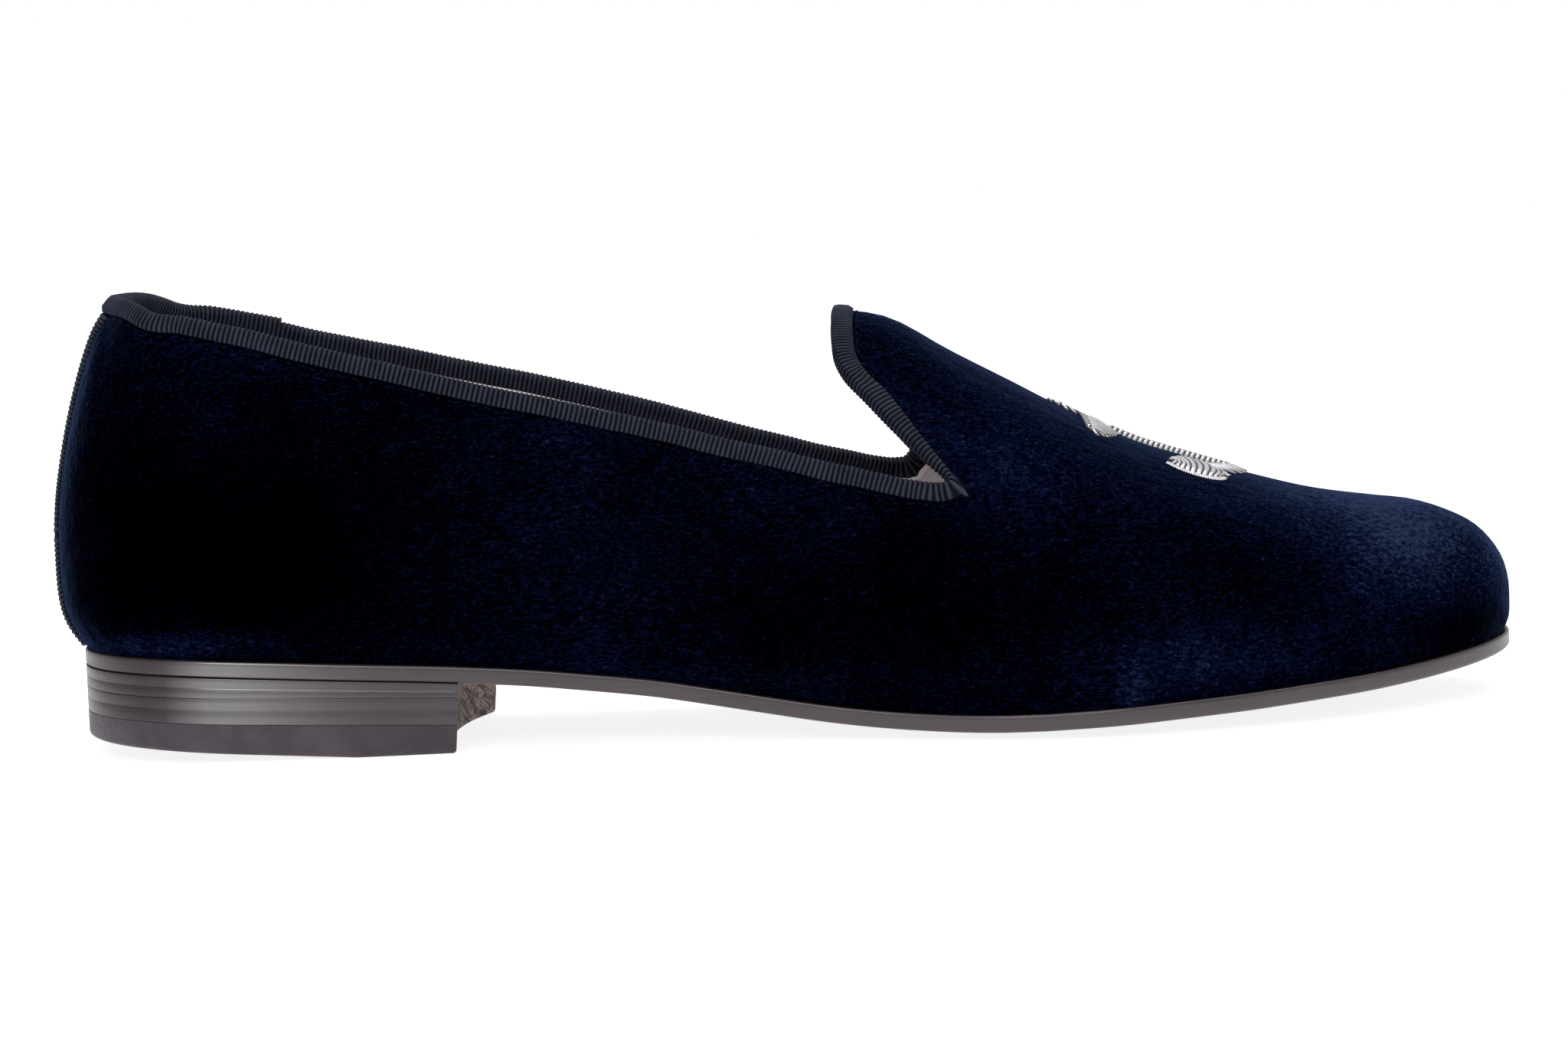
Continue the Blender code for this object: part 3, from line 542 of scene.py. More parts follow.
def grainAt(place, pebble, mottle):
    made = addNode(place.id_data, "Group", node_tree=leatherGrain)
    setInputs(made, {"Vector": place, "Pebble": pebble, "Mottle": mottle})
    return made.outputs


# A material with its Principled shader; constants go straight onto the shader's sockets
def newMaterial(name, constants):
    material = bpy.data.materials.new(name)
    material.use_nodes = True
    shader = material.node_tree.nodes["Principled BSDF"]
    setInputs(shader, constants)
    return material, shader, material.node_tree.nodes.new("ShaderNodeTexCoord").outputs["Object"]


# The pattern's sockets go onto the shader, its height through a bump of a strength and a distance
def paint(shader, colour, height, strength, distance, roughness=None):
    inputs = {"Height": height, "Strength": strength, "Distance": distance}
    normal = addNode(colour.id_data, "Bump", inputs).outputs["Normal"]
    setInputs(shader, {"Base Color": colour, "Normal": normal})
    if roughness:
        setInputs(shader, {"Roughness": roughness})


velvetLook = {
    "deep": (0.00008, 0.0001, 0.0005),
    "lit": (0.0016, 0.0032, 0.017),
    "pale": (0.019, 0.029, 0.064),
    "fleck": (0.006, 0.012, 0.046),
    "shader": {
        "Roughness": 1, "Specular IOR Level": 0, "Sheen Weight": 0.4, "Sheen Roughness": 0.2,
        "Sheen Tint": (0.15, 0.24, 0.52, 1),
    },
}


def makeVelvet():  # the attribute of painted sheen and darker patches, and the noises, choose the blue; flecks and streaks sit on it
    material, shader, place = newMaterial("navyVelvet", velvetLook["shader"])
    streaks = noise(stretched(place, (700, 700, 4200)), 1)
    fuzz = noise(place, 2300, 3, 0.65)
    middle = noise(place, 210, 3)
    grain = noise(stretched(place, (850, 850, 1900)), 1, 3, 0.72)
    tone = weighted(
        (noise(place, 42, 4, 0.62, 0.4), 0.75), (middle, 0.35), (attribute(place, "nap"), 1),
        (fuzz, 1), (grain, 2.6), start=-1.3,
    )
    colour = mixColour(between(tone, 0.8, 1.65), velvetLook["deep"], velvetLook["lit"])
    # Mostly painted sheen: the pale blue shows where the attribute's sheen ovals lift the tone, and at peaks
    # of the grain.
    colour = mixColour(between(tone, 1.4, 2.25), colour, velvetLook["pale"])
    flecks = between(noise(stretched(place, (1500, 1500, 2600)), 1, 1, 0.5), 0.64, 0.71)
    fleckMask = weighted((flecks, between(tone, 0.75, 1.5, 0.02, 0.7)))
    height = weighted((streaks, 0.5), (fuzz, 0.6), (middle, 2.2))
    paint(shader, mixColour(fleckMask, colour, velvetLook["fleck"]), height, 0.85, 0.0003)
    return material


ribbonLook = {
    "valleyShade": (0.001, 0.0012, 0.003),
    "crest": (0.033, 0.039, 0.064),
    "shader": {
        "Roughness": 0.72, "Specular IOR Level": 0.08, "Sheen Weight": 0.03, "Sheen Roughness": 0.35,
        "Sheen Tint": (0.45, 0.5, 0.65, 1),
    },
}


def makeRibbonCloth():  # the rib attribute paints highlight on the crests and shade in the valleys between ribs; UV threads cross the ribs
    material, shader, place = newMaterial("slateGrosgrain", ribbonLook["shader"])
    across = addNode(place.id_data, "UVMap", uv_map="UVMap").outputs["UV"]
    inputs = {"Vector": across, "Scale": 0.5, "Distortion": 0.6, "Detail": 1, "Detail Scale": 3}
    wave = addNode(place.id_data, "TexWave", inputs, bands_direction="Y", wave_profile="SIN")
    thread, fuzz = wave.outputs["Fac"], noise(place, 3200)
    tone = weighted(
        (attribute(place, "rib"), 0.62), (noise(place, 260, 3), 0.42), (thread, 0.13), (fuzz, 0.13),
    )
    # Painted light and shade of the ribs: dark valleys, light crests, with random tone from the noises.
    colour = mixColour(between(tone, 0.44, 1.00), ribbonLook["valleyShade"], ribbonLook["crest"])
    paint(shader, colour, weighted((thread, 0.6), (fuzz, 0.8)), 0.5, 0.0001)
    return material


threadLook = {
    "shade": (0.035, 0.034, 0.042),
    "bright": (0.7, 0.69, 0.72),
    "shader": {"Metallic": 0.85, "Specular IOR Level": 0.6},
}


def makeMetalThread():  # the attribute paints shade into the grooves between threads and the dips between cord strands
    material, shader, place = newMaterial("silverThread", threadLook["shader"])
    wrap = noise(place, 2600, 2, 0.5)
    tone = weighted((attribute(place, "lay"), 0.85), (wrap, 0.3))
    # Painted shade in the grooves, the bright silver on the crests.
    colour = mixColour(between(tone, 0.35, 0.95), threadLook["shade"], threadLook["bright"])
    paint(shader, colour, wrap, 0.35, 0.00008, between(wrap, 0.3, 0.7, 0.26, 0.46))
    return material


liningLook = {
    "shade": (0.62, 0.56, 0.56),
    "face": (0.86, 0.81, 0.82),
    "shader": {"Specular IOR Level": 0.35, "Sheen Weight": 0.08},
}


def makeLining(name, lift):  # calf: broad mottle for the colour, fine grain for the bump; the velvet's attribute of painted sheen and darker patches also shifts the tone
    material, shader, place = newMaterial(name, liningLook["shader"])
    grain = grainAt(place, 1500, 48)
    tone = weighted((grain["Mottle"], 1), (attribute(place, "nap"), 0.5), start=lift)
    colour = mixColour(between(tone, 0.25, 0.72), liningLook["shade"], liningLook["face"])
    paint(shader, colour, grain["Height"], 0.3, 0.00012, between(grain["Pores"], 0.3, 0.7, 0.55, 0.72))
    return material


edgeLook = {
    "dark": (0.008, 0.0042, 0.0042),
    "brown": (0.027, 0.0165, 0.0165),
    "scuffed": (0.048, 0.021, 0.017),
    "shader": {
        "Specular IOR Level": 0.5, "Specular Tint": (0.9, 0.82, 0.98, 1), "Coat Roughness": 0.26,
        "Coat IOR": 2.3,
    },
}


def makeEdgeLeather():  # burnished edge: layer lines along the shoe, pebbles, wax where it is smooth
    material, shader, place = newMaterial("burnishedEdge", edgeLook["shader"])
    grain, wear = grainAt(place, 1150, 55), attribute(place, "wear")
    lines = noise(stretched(place, (45, 45, 2400)), 1, 3)
    tone = weighted((grain["Mottle"], 1), (lines, 0.5))
    colour = mixColour(between(tone, 0.42, 1.05), edgeLook["dark"], edgeLook["brown"])
    colour = mixColour(between(wear, 0.25, 1, 0, 0.85), colour, edgeLook["scuffed"])
    rough = weighted((grain["Pores"], 0.22), (wear, 0.16), start=0.24)
    paint(shader, colour, weighted((lines, 0.9), (grain["Height"], 0.55)), 0.42, 0.00014, rough)
    setInputs(shader, {"Coat Weight": attribute(place, "polish")})
    return material


rawLook = {
    "dark": (0.024, 0.014, 0.011),
    "pale": (0.36, 0.265, 0.24),
    "shader": {"Roughness": 0.85, "Specular IOR Level": 0.3},
}


def makeRawLeather():  # cut face: slanting layer lines over torn fibre
    material, shader, place = newMaterial("rawBreast", rawLook["shader"])
    lines = noise(stretched(place, (90, 90, 1500), (0.38, 0, 0)), 1, 4, 0.7)
    tone = weighted((lines, 0.7), (noise(place, 900, 4, 0.7), 0.5))
    paint(shader, mixColour(between(tone, 0.48, 0.76), rawLook["dark"], rawLook["pale"]), tone, 0.9, 0.0005)
    return material


treadLook = {
    "dark": (0.024, 0.018, 0.02),
    "brown": (0.056, 0.044, 0.052),
    "shader": {"Specular IOR Level": 0.5, "Specular Tint": (0.92, 0.86, 1, 1)},
}


def makeTread(name, pebble, gloss):  # underside leather or rubber: pebbled, dull where it has trodden
    material, shader, place = newMaterial(name, treadLook["shader"])
    grain = grainAt(place, pebble, 70)
    colour = mixColour(between(grain["Mottle"], 0.3, 0.7), treadLook["dark"], treadLook["brown"])
    rough = between(grain["Pores"], 0.3, 0.7, gloss, gloss + 0.2)
    paint(shader, colour, grain["Height"], 0.6, 0.00018, rough)
    return material


velvet = makeVelvet()
grosgrain = makeRibbonCloth()
silverThread = makeMetalThread()
taupeLining = makeLining("taupeLining", 0)
paleEdge = makeLining("paleLiningEdge", 0.6)
burnishedEdge = makeEdgeLeather()
rawBreast = makeRawLeather()
soleLeather = makeTread("soleUnderside", 1300, 0.42)
heelRubber = makeTread("heelRubber", 1000, 0.4)
print("materials made")


# Upper: velvet outside, calf inside. Lines are the grid's from back to throat corner and from
# there to the tip, rows those below and above the fullest line.
upperCloth = {
    "velvet": {"lines": (170, 100), "rows": (12, 46), "depths": (0, 0.001), "creased": 1},
    "lining": {"lines": (90, 60), "rows": (6, 26), "depths": (0.00105, last["wall"]), "creased": 0.5},
    "seamTuck": 0.0003,
    "tuckReach": 0.2,  # rows up from the seam
    "creaseFade": (0.25, 0.12),  # rows up from the seam, and down from the topline
    "crowding": (1.35, 1.3),  # how much closer lines lie at the throat, behind and ahead of it
    "creaseShare": 0.6,  # how much of a crease shows on the inner face
}
# Soft forms in the cloth, in millimetres: start and end (s, z, s, z), side of the shoe (-1 outer,
# 1 inner), width, and how far they stand in (+) or out (-)
creases = (
    (214.4, 24, 242.4, 32, -1, 10, 0.75), (203.4, 15, 236.4, 15, -1, 8, -0.4),
    (201.4, 5, 203.9, 15, -1, 3, -0.4), (199.4, 6, 198.4, 17, -1, 3, 0.35),
    (174.4, 42, 203.4, 30, -1, 7, 0.5), (168.4, 33, 193.4, 22, -1, 8, -0.45),
    (259.4, 24.8, 260.4, 20, -1, 3.5, 0.35), (83.4, 50, 128.4, 38, -1, 10, -0.5),
    (68.4, 35, 123.4, 22, -1, 11, 0.6), (28.4, 30, 48.4, 27, -1, 7, 0.4),
    (138.4, 18, 173.4, 18, -1, 8, 0.45), (210.4, 26, 238.4, 32, 1, 9, 0.65),
    (198.4, 15, 228.4, 17, 1, 8, -0.4), (170.4, 40, 198.4, 29, 1, 7, 0.5),
    (93.4, 42, 138.4, 33, 1, 10, 0.55), (58.4, 30, 93.4, 25, 1, 9, -0.4),
    (123.4, 22, 158.4, 20, 1, 8, 0.45), (16.4, 40, 33.4, 33, 1, 7, 0.35),
)
# Ovals that make the velvet lighter (+) or darker (-), in millimetres: middle (s, z), reach (s, z),
# side (0 for both), amount. The lighter ones are painted sheen on the toe, the vamp's top, under the
# ribbon and along the lower seam; the darker ones darken patches of the pile.
napAndSheenOvals = (
    (257.4, 47, 26, 11, 0, 1), (263, 31, 18, 10, 0, 0.6), (283, 26, 6, 11, 0, 0.66),
    (276, 13, 12, 4.5, 0, -0.6), (227.4, 29, 18, 10, -1, -0.16), (218.4, 14.5, 20, 6.5, -1, 0.36),
    (202.9, 8.5, 2.2, 6, -1, 0.4), (158.4, 25, 40, 18, -1, -0.36), (33.4, 42, 34, 22, -1, -0.6),
    (98.4, 40, 26, 12, -1, 0.02), (20.4, 22.5, 20, 2.8, -1, 0.6), (118.4, 12, 60, 3, -1, 0.16),
    (188.4, 56, 40, 14, -1, 0.24), (218.4, 27, 18, 10, 1, -0.18), (148.4, 24, 40, 16, 1, -0.26),
    (38.4, 40, 30, 18, 1, -0.3), (188.4, 56, 40, 14, 1, 0.2),
)


# How far the cloth sinks: a bell across each crease, measured from its line in s and z
def creaseDepth(points):
    s, y, z = np.moveaxis(points, -1, 0) * 1000
    across = (points[..., 1] - swing(points[..., 0])) / 0.012
    depth = np.zeros_like(s)
    for s0, z0, s1, z1, side, width, amount in creases:
        run, rise = s1 - s0, z1 - z0
        t = np.clip(((s - s0) * run + (z - z0) * rise) / (run * run + rise * rise), 0, 1)
        gap = np.hypot(s - s0 - t * run, z - z0 - t * rise)
        depth += amount * 0.001 * np.exp(-((gap / width) ** 2)) * smoothStep(across * side - 0.4)
    return depth


def napAt(points):  # the sum of soft ovals on the side they belong to: painted sheen where positive, darker patches where negative
    s, y, z = np.moveaxis(points, -1, 0) * 1000
    across = (points[..., 1] - swing(points[..., 0])) / 0.01
    nap = np.zeros_like(s)
    for s0, z0, reachS, reachZ, side, amount in napAndSheenOvals:
        oval = np.exp(-((s - s0) / reachS) ** 2 - ((z - z0) / reachZ) ** 2)
        nap += amount * oval * (smoothStep(across * side) if side else 1)
    return nap


def loopLines(behind, ahead):  # grid lines once round the shoe, closest at the throat corners
    before, after = upperCloth["crowding"]
    back = 1 - (1 - np.linspace(0, 1, behind + 1)) ** before
    front = 1 + np.linspace(0, 1, ahead + 1)[1:] ** after
    tau = np.concatenate((back, front))
    return np.concatenate((tau, 4 - tau[-2:0:-1]))


# A layer of the wall: up its outer face and down its inner one, both sunk along the creases
def makeWall(name, cloth, material, slot):
    u, rows = loopLines(*cloth["lines"])[:, None], cloth["rows"]
    v = np.concatenate((np.linspace(0, 1, rows[0] + 1), np.linspace(1, 2, rows[1] + 1)[1:]))
    face, normal = upperAt(u, v), upperNormal(u, v)
    low, high = upperCloth["creaseFade"]
    fade = smoothStep((2 - v) / high) * smoothStep(v / low)
    dent = (creaseDepth(face) * cloth["creased"] * fade)[..., None]
    outer = face - normal * (cloth["depths"][0] + dent)
    inner = face - normal * (cloth["depths"][1] + dent * upperCloth["creaseShare"])
    tuck = upperCloth["seamTuck"] * (1 - smoothStep(v / upperCloth["tuckReach"]))
    outer[..., 2] -= tuck
    inner[..., 2] -= tuck
    ring = np.concatenate((outer, inner[:, ::-1]), axis=1)
    # The velvet's painted sheen and darker patches, as an attribute on both faces; the lining reads it too.
    nap = np.concatenate((napAt(face), napAt(face)[:, ::-1]), axis=1)
    quads = gridQuads(*ring.shape[:2], wrapRows=True, wrapColumns=True)
    makePiece(name, ring, quads, [material], slot, "upper", nap=nap)


makeWall("velvetUpper", upperCloth["velvet"], velvet, "velvet")
makeWall("liningLeather", upperCloth["lining"], taupeLining, "lining_leather")


# Grosgrain over the topline
ribbon = {
    "thickness": 0.001,
    "inside": 0.0008,
    "depth": 0.003,
    "rib": 0.00094,
    "ribDepth": 0.00028,
    "ringsPerRib": 5,
    "lap": 0.0008,
    "lapEnd": 0.042,
    "lapTaper": 0.01,
    "lapLimit": 0.1,
    "foldPoints": 7,
    "foldSweep": (0.12, 0.88),  # shares of a half turn
    "ringShares": (1, 0.72, 0.42, 0.14),
    "uvAcross": 12,
    "onTongue": 1.1,
    "thinEdge": 0.55,
}


def wayAlong(u):  # the step along the topline over twice the probe
    return upperAt(u + probe, 2) - upperAt(u - probe, 2)


# At the topline: the point, its way along, out of the wall and down it, square to each other
def edgeFrame(u):
    point, tangent = upperAt(u, 2), unit(wayAlong(u))
    down = upperAt(u, 2 - 5 * probe) - point
    down = unit(down - tangent * np.sum(down * tangent, axis=-1, keepdims=True))
    return point, tangent, unit(np.cross(down, tangent)), down


def ribbonDepth(u):  # one along the quarters, another past the throat corners
    tau = np.where(u <= 2, u, 4 - u)
    return ribbon["depth"] * (1 - (1 - ribbon["onTongue"]) * smoothStep((tau - 1) / 0.2))


# The row v at which the wall lies a depth below the topline, measured square to it
def depthRow(u, tangent, depth):
    v = np.linspace(2, 1.3, 60)
    points = upperAt(u[:, None], v[None, :])
    steps = np.linalg.norm(np.diff(points, axis=1), axis=2)
    reach = np.concatenate((np.zeros((len(u), 1)), np.cumsum(steps, axis=1)), axis=1)
    start = unit(points[:, 3] - points[:, 0])
    goal = depth / np.clip(np.linalg.norm(np.cross(start, tangent), axis=1), 0.62, 1)
    k = np.clip(np.sum(reach < goal[:, None], axis=1), 1, len(v) - 1)
    rows = np.arange(len(u))
    before, after = reach[rows, k - 1], reach[rows, k]
    t = np.clip((goal - before) / np.maximum(after - before, 1e-9), 0, 1)
    return mixed(v[k - 1], v[k], t)


# The same with u moved along the topline, so that the wall's point lies square below its own
def squareBelow(u, tangent, depth):
    v = depthRow(u, tangent, depth)
    drift = np.sum((upperAt(u, v) - upperAt(u, 2)) * tangent, axis=1)
    pace = np.linalg.norm(wayAlong(u), axis=1) / (2 * probe)
    moved = np.mod(u - drift / pace, 4)
    return moved, depthRow(moved, edgeFrame(moved)[1], depth)


def toplineRings(spacing):  # u at even steps of the topline's length, once round
    u = np.linspace(0, 4, 4001)
    reach = reachAlong(upperAt(u, 2))
    count = int(round(reach[-1] / spacing))
    return np.interp(np.arange(count) / count * reach[-1], reach, u), count


# U-shaped profile round the wall's edge, its faces swollen by a cosine over each rib. The profile
# goes up the outside, over the edge, down the inside, and back between ribbon and wall.
def makeToplineRibbon():
    perRib, wall = ribbon["ringsPerRib"], last["wall"]
    u, count = toplineRings(ribbon["rib"] / perRib)
    count -= count % perRib
    u = np.interp(np.arange(count) / count, np.linspace(0, 1, len(u) + 1), np.append(u, 4))
    point, tangent, out, down = edgeFrame(u)
    wave = 0.5 + 0.5 * np.cos(2 * math.pi * np.arange(count) / perRib)
    swell = ((wave - 1) * ribbon["ribDepth"])[:, None]
    fade = np.where(point[:, 0] < ribbon["lapLimit"], 1 - smoothStep(-point[:, 1] / ribbon["lapTaper"]), 0)
    lapped = np.where(u > 2, point[:, 0] < ribbon["lapEnd"], fade)[:, None] * ribbon["lap"]
    outer = ribbon["thickness"] + lapped + swell
    far = ribbon["inside"] + swell
    shares = ribbon["ringShares"]
    rings, across = [], []

    def addRing(share, lift, sign):  # on the wall, square below the edge, lifted off its face
        at, v = squareBelow(u, tangent, ribbonDepth(u) * share)
        rings.append(upperAt(at, v) + upperNormal(at, v) * lift)
        across.append(share * sign)

    for share in shares:
        addRing(share, outer * (ribbon["thinEdge"] if share == 1 else 1), 1)
    for turn in np.linspace(*ribbon["foldSweep"], ribbon["foldPoints"]) * math.pi:
        reach = wall / 2 + (outer if np.cos(turn) > 0 else far)
        side = out * (np.cos(turn) * reach - wall / 2)
        rings.append(point + side - down * np.sin(turn) * (far + lapped))
        across.append(0)
    for share in shares[::-1]:
        addRing(share, -(wall + far * (ribbon["thinEdge"] if share == 1 else 1)), -1)
    for share in (1, 0.5):
        addRing(share, -(wall + sunk), -1)
    rings.append(point - out * wall / 2 - down * sunk)
    across.append(0)
    for share in (0.5, 1):
        addRing(share, sunk, 1)
    grid = np.stack(rings, axis=1)
    columns = grid.shape[1]
    quads = gridQuads(count, columns, wrapRows=True, wrapColumns=True)
    across = np.array(across) * ribbon["uvAcross"]
    ribAt, acrossAt = np.meshgrid(np.arange(count) / perRib, across, indexing="ij")
    # The rib wave also goes out as the painted light and shade of the ribs.
    rib = np.repeat(wave, columns)
    uv = np.stack((ribAt, acrossAt), axis=-1)
    makePiece("toplineRibbon", grid, quads, [grosgrain], "ribbon", "topline_binding", uv=uv, rib=rib)


makeToplineRibbon()

# Strip over the back seam: rows up the counter, each as wide as the strip, ribs across it
backStrip = {"width": 0.016, "thickness": 0.001, "ribDepth": 0.00022, "foot": 0.02, "ringsPerRib": 5,
             "thinEdge": 0.45, "uvReach": 24, "columns": 15}


def makeBackStrip():
    perRib = backStrip["ringsPerRib"]
    topRow = depthRow(np.zeros(1), np.array([[0, -1, 0]]), ribbon["depth"] + 0.0001)[0]
    fine = np.linspace(backStrip["foot"], topRow, 600)
    reach = reachAlong(upperAt(0, fine))
    count = int(round(reach[-1] / ribbon["rib"])) * perRib + 1
    v = np.interp(np.arange(count) / (count - 1) * reach[-1], reach, fine)
    wave = 0.5 - 0.5 * np.cos(2 * math.pi * np.arange(count) / perRib)
    offsets = np.linspace(-0.5, 0.5, backStrip["columns"]) * backStrip["width"]
    tau = np.linspace(0, 0.25, 160)
    u = np.zeros((count, len(offsets)))
    for side, lines in ((-1, tau), (1, 4 - tau)):
        here = offsets * side > 0
        across = np.abs(upperAt(lines, v[:, None])[..., 1])
        for i in range(count):
            u[i, here] = np.interp(np.abs(offsets[here]), across[i], lines)
    face, normal = upperAt(u, v[:, None]), upperNormal(u, v[:, None])
    lift = np.full(u.shape, backStrip["thickness"]) + ((wave - 1) * backStrip["ribDepth"])[:, None]
    lift[:, [0, -1]] *= backStrip["thinEdge"]
    grids = np.stack((face + normal * lift[..., None], face + normal * 0.00004))
    across = np.linspace(-1, 1, backStrip["columns"]) * backStrip["uvReach"]
    ribAt, acrossAt = np.meshgrid(np.arange(count) / perRib, across, indexing="ij")
    uv = np.tile(np.stack((ribAt, acrossAt), axis=-1), (2, 1, 1, 1))
    # The rib wave also goes out as the painted light and shade of the ribs.
    rib = np.broadcast_to(wave[:, None], grids.shape[:3])
    makePiece(
        "backStripRibbon", grids, shellQuads(*u.shape), [grosgrain], "ribbon", "back_strip", uv=uv, rib=rib
    )


makeBackStrip()


# Small capsules laid on a surface: a ring of six points carried along each stitch
def stitchGrid(middles, ways, normals, length, radius):
    middles, ways, normals = (a[:, None, None, :] for a in (middles, unit(ways), normals))
    sideways = unit(np.cross(normals, ways))
    t = np.linspace(-1, 1, 7)[:, None, None]
    girth = np.sqrt(np.maximum(1 - np.abs(t) ** 3, 0))
    arc = (1 - t**2) * 0.6 - 0.35
    turn = (np.arange(6) / 6 * 2 * math.pi)[:, None]
    ring = sideways * np.cos(turn) + normals * np.sin(turn)
    points = middles + ways * t * length / 2 + normals * arc * radius + ring * girth * radius
    steps = np.arange(len(middles))[:, None, None] * 42
    return points.reshape(-1, 3), (gridQuads(7, 6, wrapColumns=True) + steps).reshape(-1, 4)


stitching = {"pitch": 0.0031, "length": 0.0011, "radius": 0.00014, "below": 0.0008, "tone": 0.3}


def makeRibbonStitches():  # one row on the velvet just under the ribbon
    u = toplineRings(stitching["pitch"])[0]
    tangent = edgeFrame(u)[1]
    v = depthRow(u, tangent, ribbonDepth(u) + stitching["below"])
    face, normal = upperAt(u, v), upperNormal(u, v)
    middles = face + normal * (0.00006 - creaseDepth(face)[:, None])
    points, quads = stitchGrid(middles, tangent, normal, stitching["length"], stitching["radius"])
    uv, rib = np.zeros((len(points), 2)), np.full(len(points), stitching["tone"])
    makePiece("ribbonStitches", points, quads, [grosgrain], "ribbon", uv=uv, rib=rib)


makeRibbonStitches()

liningEdge = {"width": 0.0011, "under": 0.0001, "thickness": 0.0003, "step": 0.0024}


def makeLiningEdge():  # the lining's pale turned edge, a lip just below the ribbon inside
    u, count = toplineRings(liningEdge["step"])
    tangent = edgeFrame(u)[1]
    rings = []
    for share, lift in ((0, 0.6), (0.3, 1), (0.8, 1), (1, 0.5), (1, 0), (0, 0)):
        below = share * (liningEdge["width"] + liningEdge["under"]) - liningEdge["under"]
        v = depthRow(u, tangent, ribbonDepth(u) + below)
        depth = last["wall"] + 0.00003 + lift * liningEdge["thickness"]
        rings.append(upperAt(u, v) - upperNormal(u, v) * depth)
    quads = gridQuads(count, len(rings), wrapRows=True, wrapColumns=True)
    makePiece("liningEdge", np.stack(rings, axis=1), quads, [paleEdge], "lining_leather")


makeLiningEdge()


# Vamp ornament: an anchor worked in silver thread, the same on both sides of the ridge. Its
# outlines are (distance from the back, distance from the ridge) in millimetres, and so is bow.
emblem = {
    "stock": {
        "from": ((200.6, 0), (200.4, 5), (200.2, 10), (200.1, 16.4)),
        "to": ((205.4, 0), (205, 5), (205.6, 10.5), (203, 16.8)),
        "threads": 9, "pad": 0.00075,
    },
    "shank": {
        "from": ((204.9, -1.7), (214.4, -1.7), (222.4, -1.7), (229.4, -1.9)),
        "to": ((204.9, 1.7), (214.4, 1.7), (222.4, 1.7), (229.4, 1.9)),
        "threads": 24, "pad": 0.00085, "slant": 0.055,
    },
    "arm": {
        "from": ((227.4, 0.5), (226.4, 4), (224.6, 8), (222, 12)),
        "to": ((232.6, 0.5), (231.6, 5), (229.4, 10), (225.6, 14.6)),
        "threads": 15, "pad": 0.0006, "bow": 0.9,
    },
    "fluke": {
        "from": ((214.6, 18.6), (217, 13), (220, 10.2), (222.8, 11.2), (224.6, 14), (225.8, 18.4)),
        "to": ((214.6, 18.8), (216.6, 20.6), (219.4, 21.6), (222.2, 21.5), (224.4, 20.4), (225.8, 18.6)),
        "threads": 12, "pad": 0.0008, "slant": 0.03, "bow": 1.2, "scallop": 0.1, "waves": 4,
    },
    "thread": 0.00028,
}


def onVamp(flat, sign):  # plan points in millimetres from the ridge, as points and normals of the last
    s = flat[..., 0] * 0.001
    y = swing(s) + sign * flat[..., 1] * 0.001
    step = 0.0004
    slopeS = (lastHeight(s + step, y) - lastHeight(s - step, y)) / (2 * step)
    slopeY = (lastHeight(s, y + step) - lastHeight(s, y - step)) / (2 * step)
    normal = unit(asPoints(-slopeS, -slopeY, np.ones_like(s)))
    return asPoints(s, y, lastHeight(s, y)), normal


# Satin stitch between two outlines: padded across by a half sine, grooved along by |sin|
def satin(part, sign):
    slant, bow, scallop, waves = (part.get(key, 0) for key in ("slant", "bow", "scallop", "waves"))
    t = np.linspace(0, 1, part["threads"] * 5 + 1)[:, None]
    w = np.linspace(0, 1, 11)[None, :]
    groove = np.abs(np.sin(math.pi * part["threads"] * t)) ** 0.8 * np.ones_like(w)
    first = alongPath(pathThrough(part["from"]), t)
    second = alongPath(pathThrough(part["to"]), np.clip(t + slant, 0, 1))
    first = first + (first - second) * scallop * np.abs(np.sin(math.pi * waves * t))[..., None]
    flat = mixed(first, second, w[..., None])
    flat = flat + unit(np.gradient(flat, axis=0)) * (bow * np.sin(math.pi * w))[..., None]
    points, normal = onVamp(flat, sign)
    rise = part["pad"] * np.sin(math.pi * np.clip(w * 0.92 + 0.04, 0, 1)) ** 0.55
    rise = rise + emblem["thread"] * groove
    rise[[0, -1], :] = -0.0001
    rise[:, [0, -1]] = -0.0001
    both = np.stack((points + normal * rise[..., None], points - normal * 0.0003))
    # The groove goes out as painted shade too, dark where the threads part.
    return both, shellQuads(*groove.shape), groove


# Twisted cord: a tube whose two strands turn with the length, laid on the last along a path
def cordAlong(path, radius, sign, pitch=0.0016):
    flat = pathThrough(path)
    length = reachAlong(flat)[-1] * 0.001
    count = int(length / pitch * 5) + 2
    t = np.linspace(0, 1, count)
    centre, normal = onVamp(alongPath(flat, t), sign)
    sideways = unit(np.cross(normal, unit(np.gradient(centre, axis=0))))
    turn = np.arange(12) / 12 * 2 * math.pi
    lobes = np.abs(np.cos(turn - (math.pi * t * length / pitch)[:, None]))
    ends = np.minimum(1, np.minimum(t, 1 - t) * count / 2)
    size = radius * (0.68 + 0.42 * lobes) * ends[:, None]
    turn = turn[None, :, None]
    ring = sideways[:, None, :] * np.cos(turn) + normal[:, None, :] * np.sin(turn)
    points = (centre + normal * radius * 0.45)[:, None, :] + ring * size[..., None]
    # The lobes also go out as painted shade, darker between the strands.
    return points, gridQuads(count, 12, wrapColumns=True), lobes * 0.8


def offsetPath(part, share):  # a path part of the way from one outline to the other
    t = np.linspace(0, 1, 40)
    a, b = (alongPath(pathThrough(part[key]), t) for key in ("from", "to"))
    return a * (1 - share) + b * share


def rimStitches(rim, sign):  # blanket stitches across a rim
    centre, normal = onVamp(alongPath(pathThrough(rim), np.linspace(0.03, 0.97, 30)), sign)
    ways = np.cross(normal, unit(np.gradient(centre, axis=0)))
    points, quads = stitchGrid(centre + normal * 0.0002, ways, normal, 0.0016, 0.00024)
    return points, quads, np.full(len(points), 0.9)


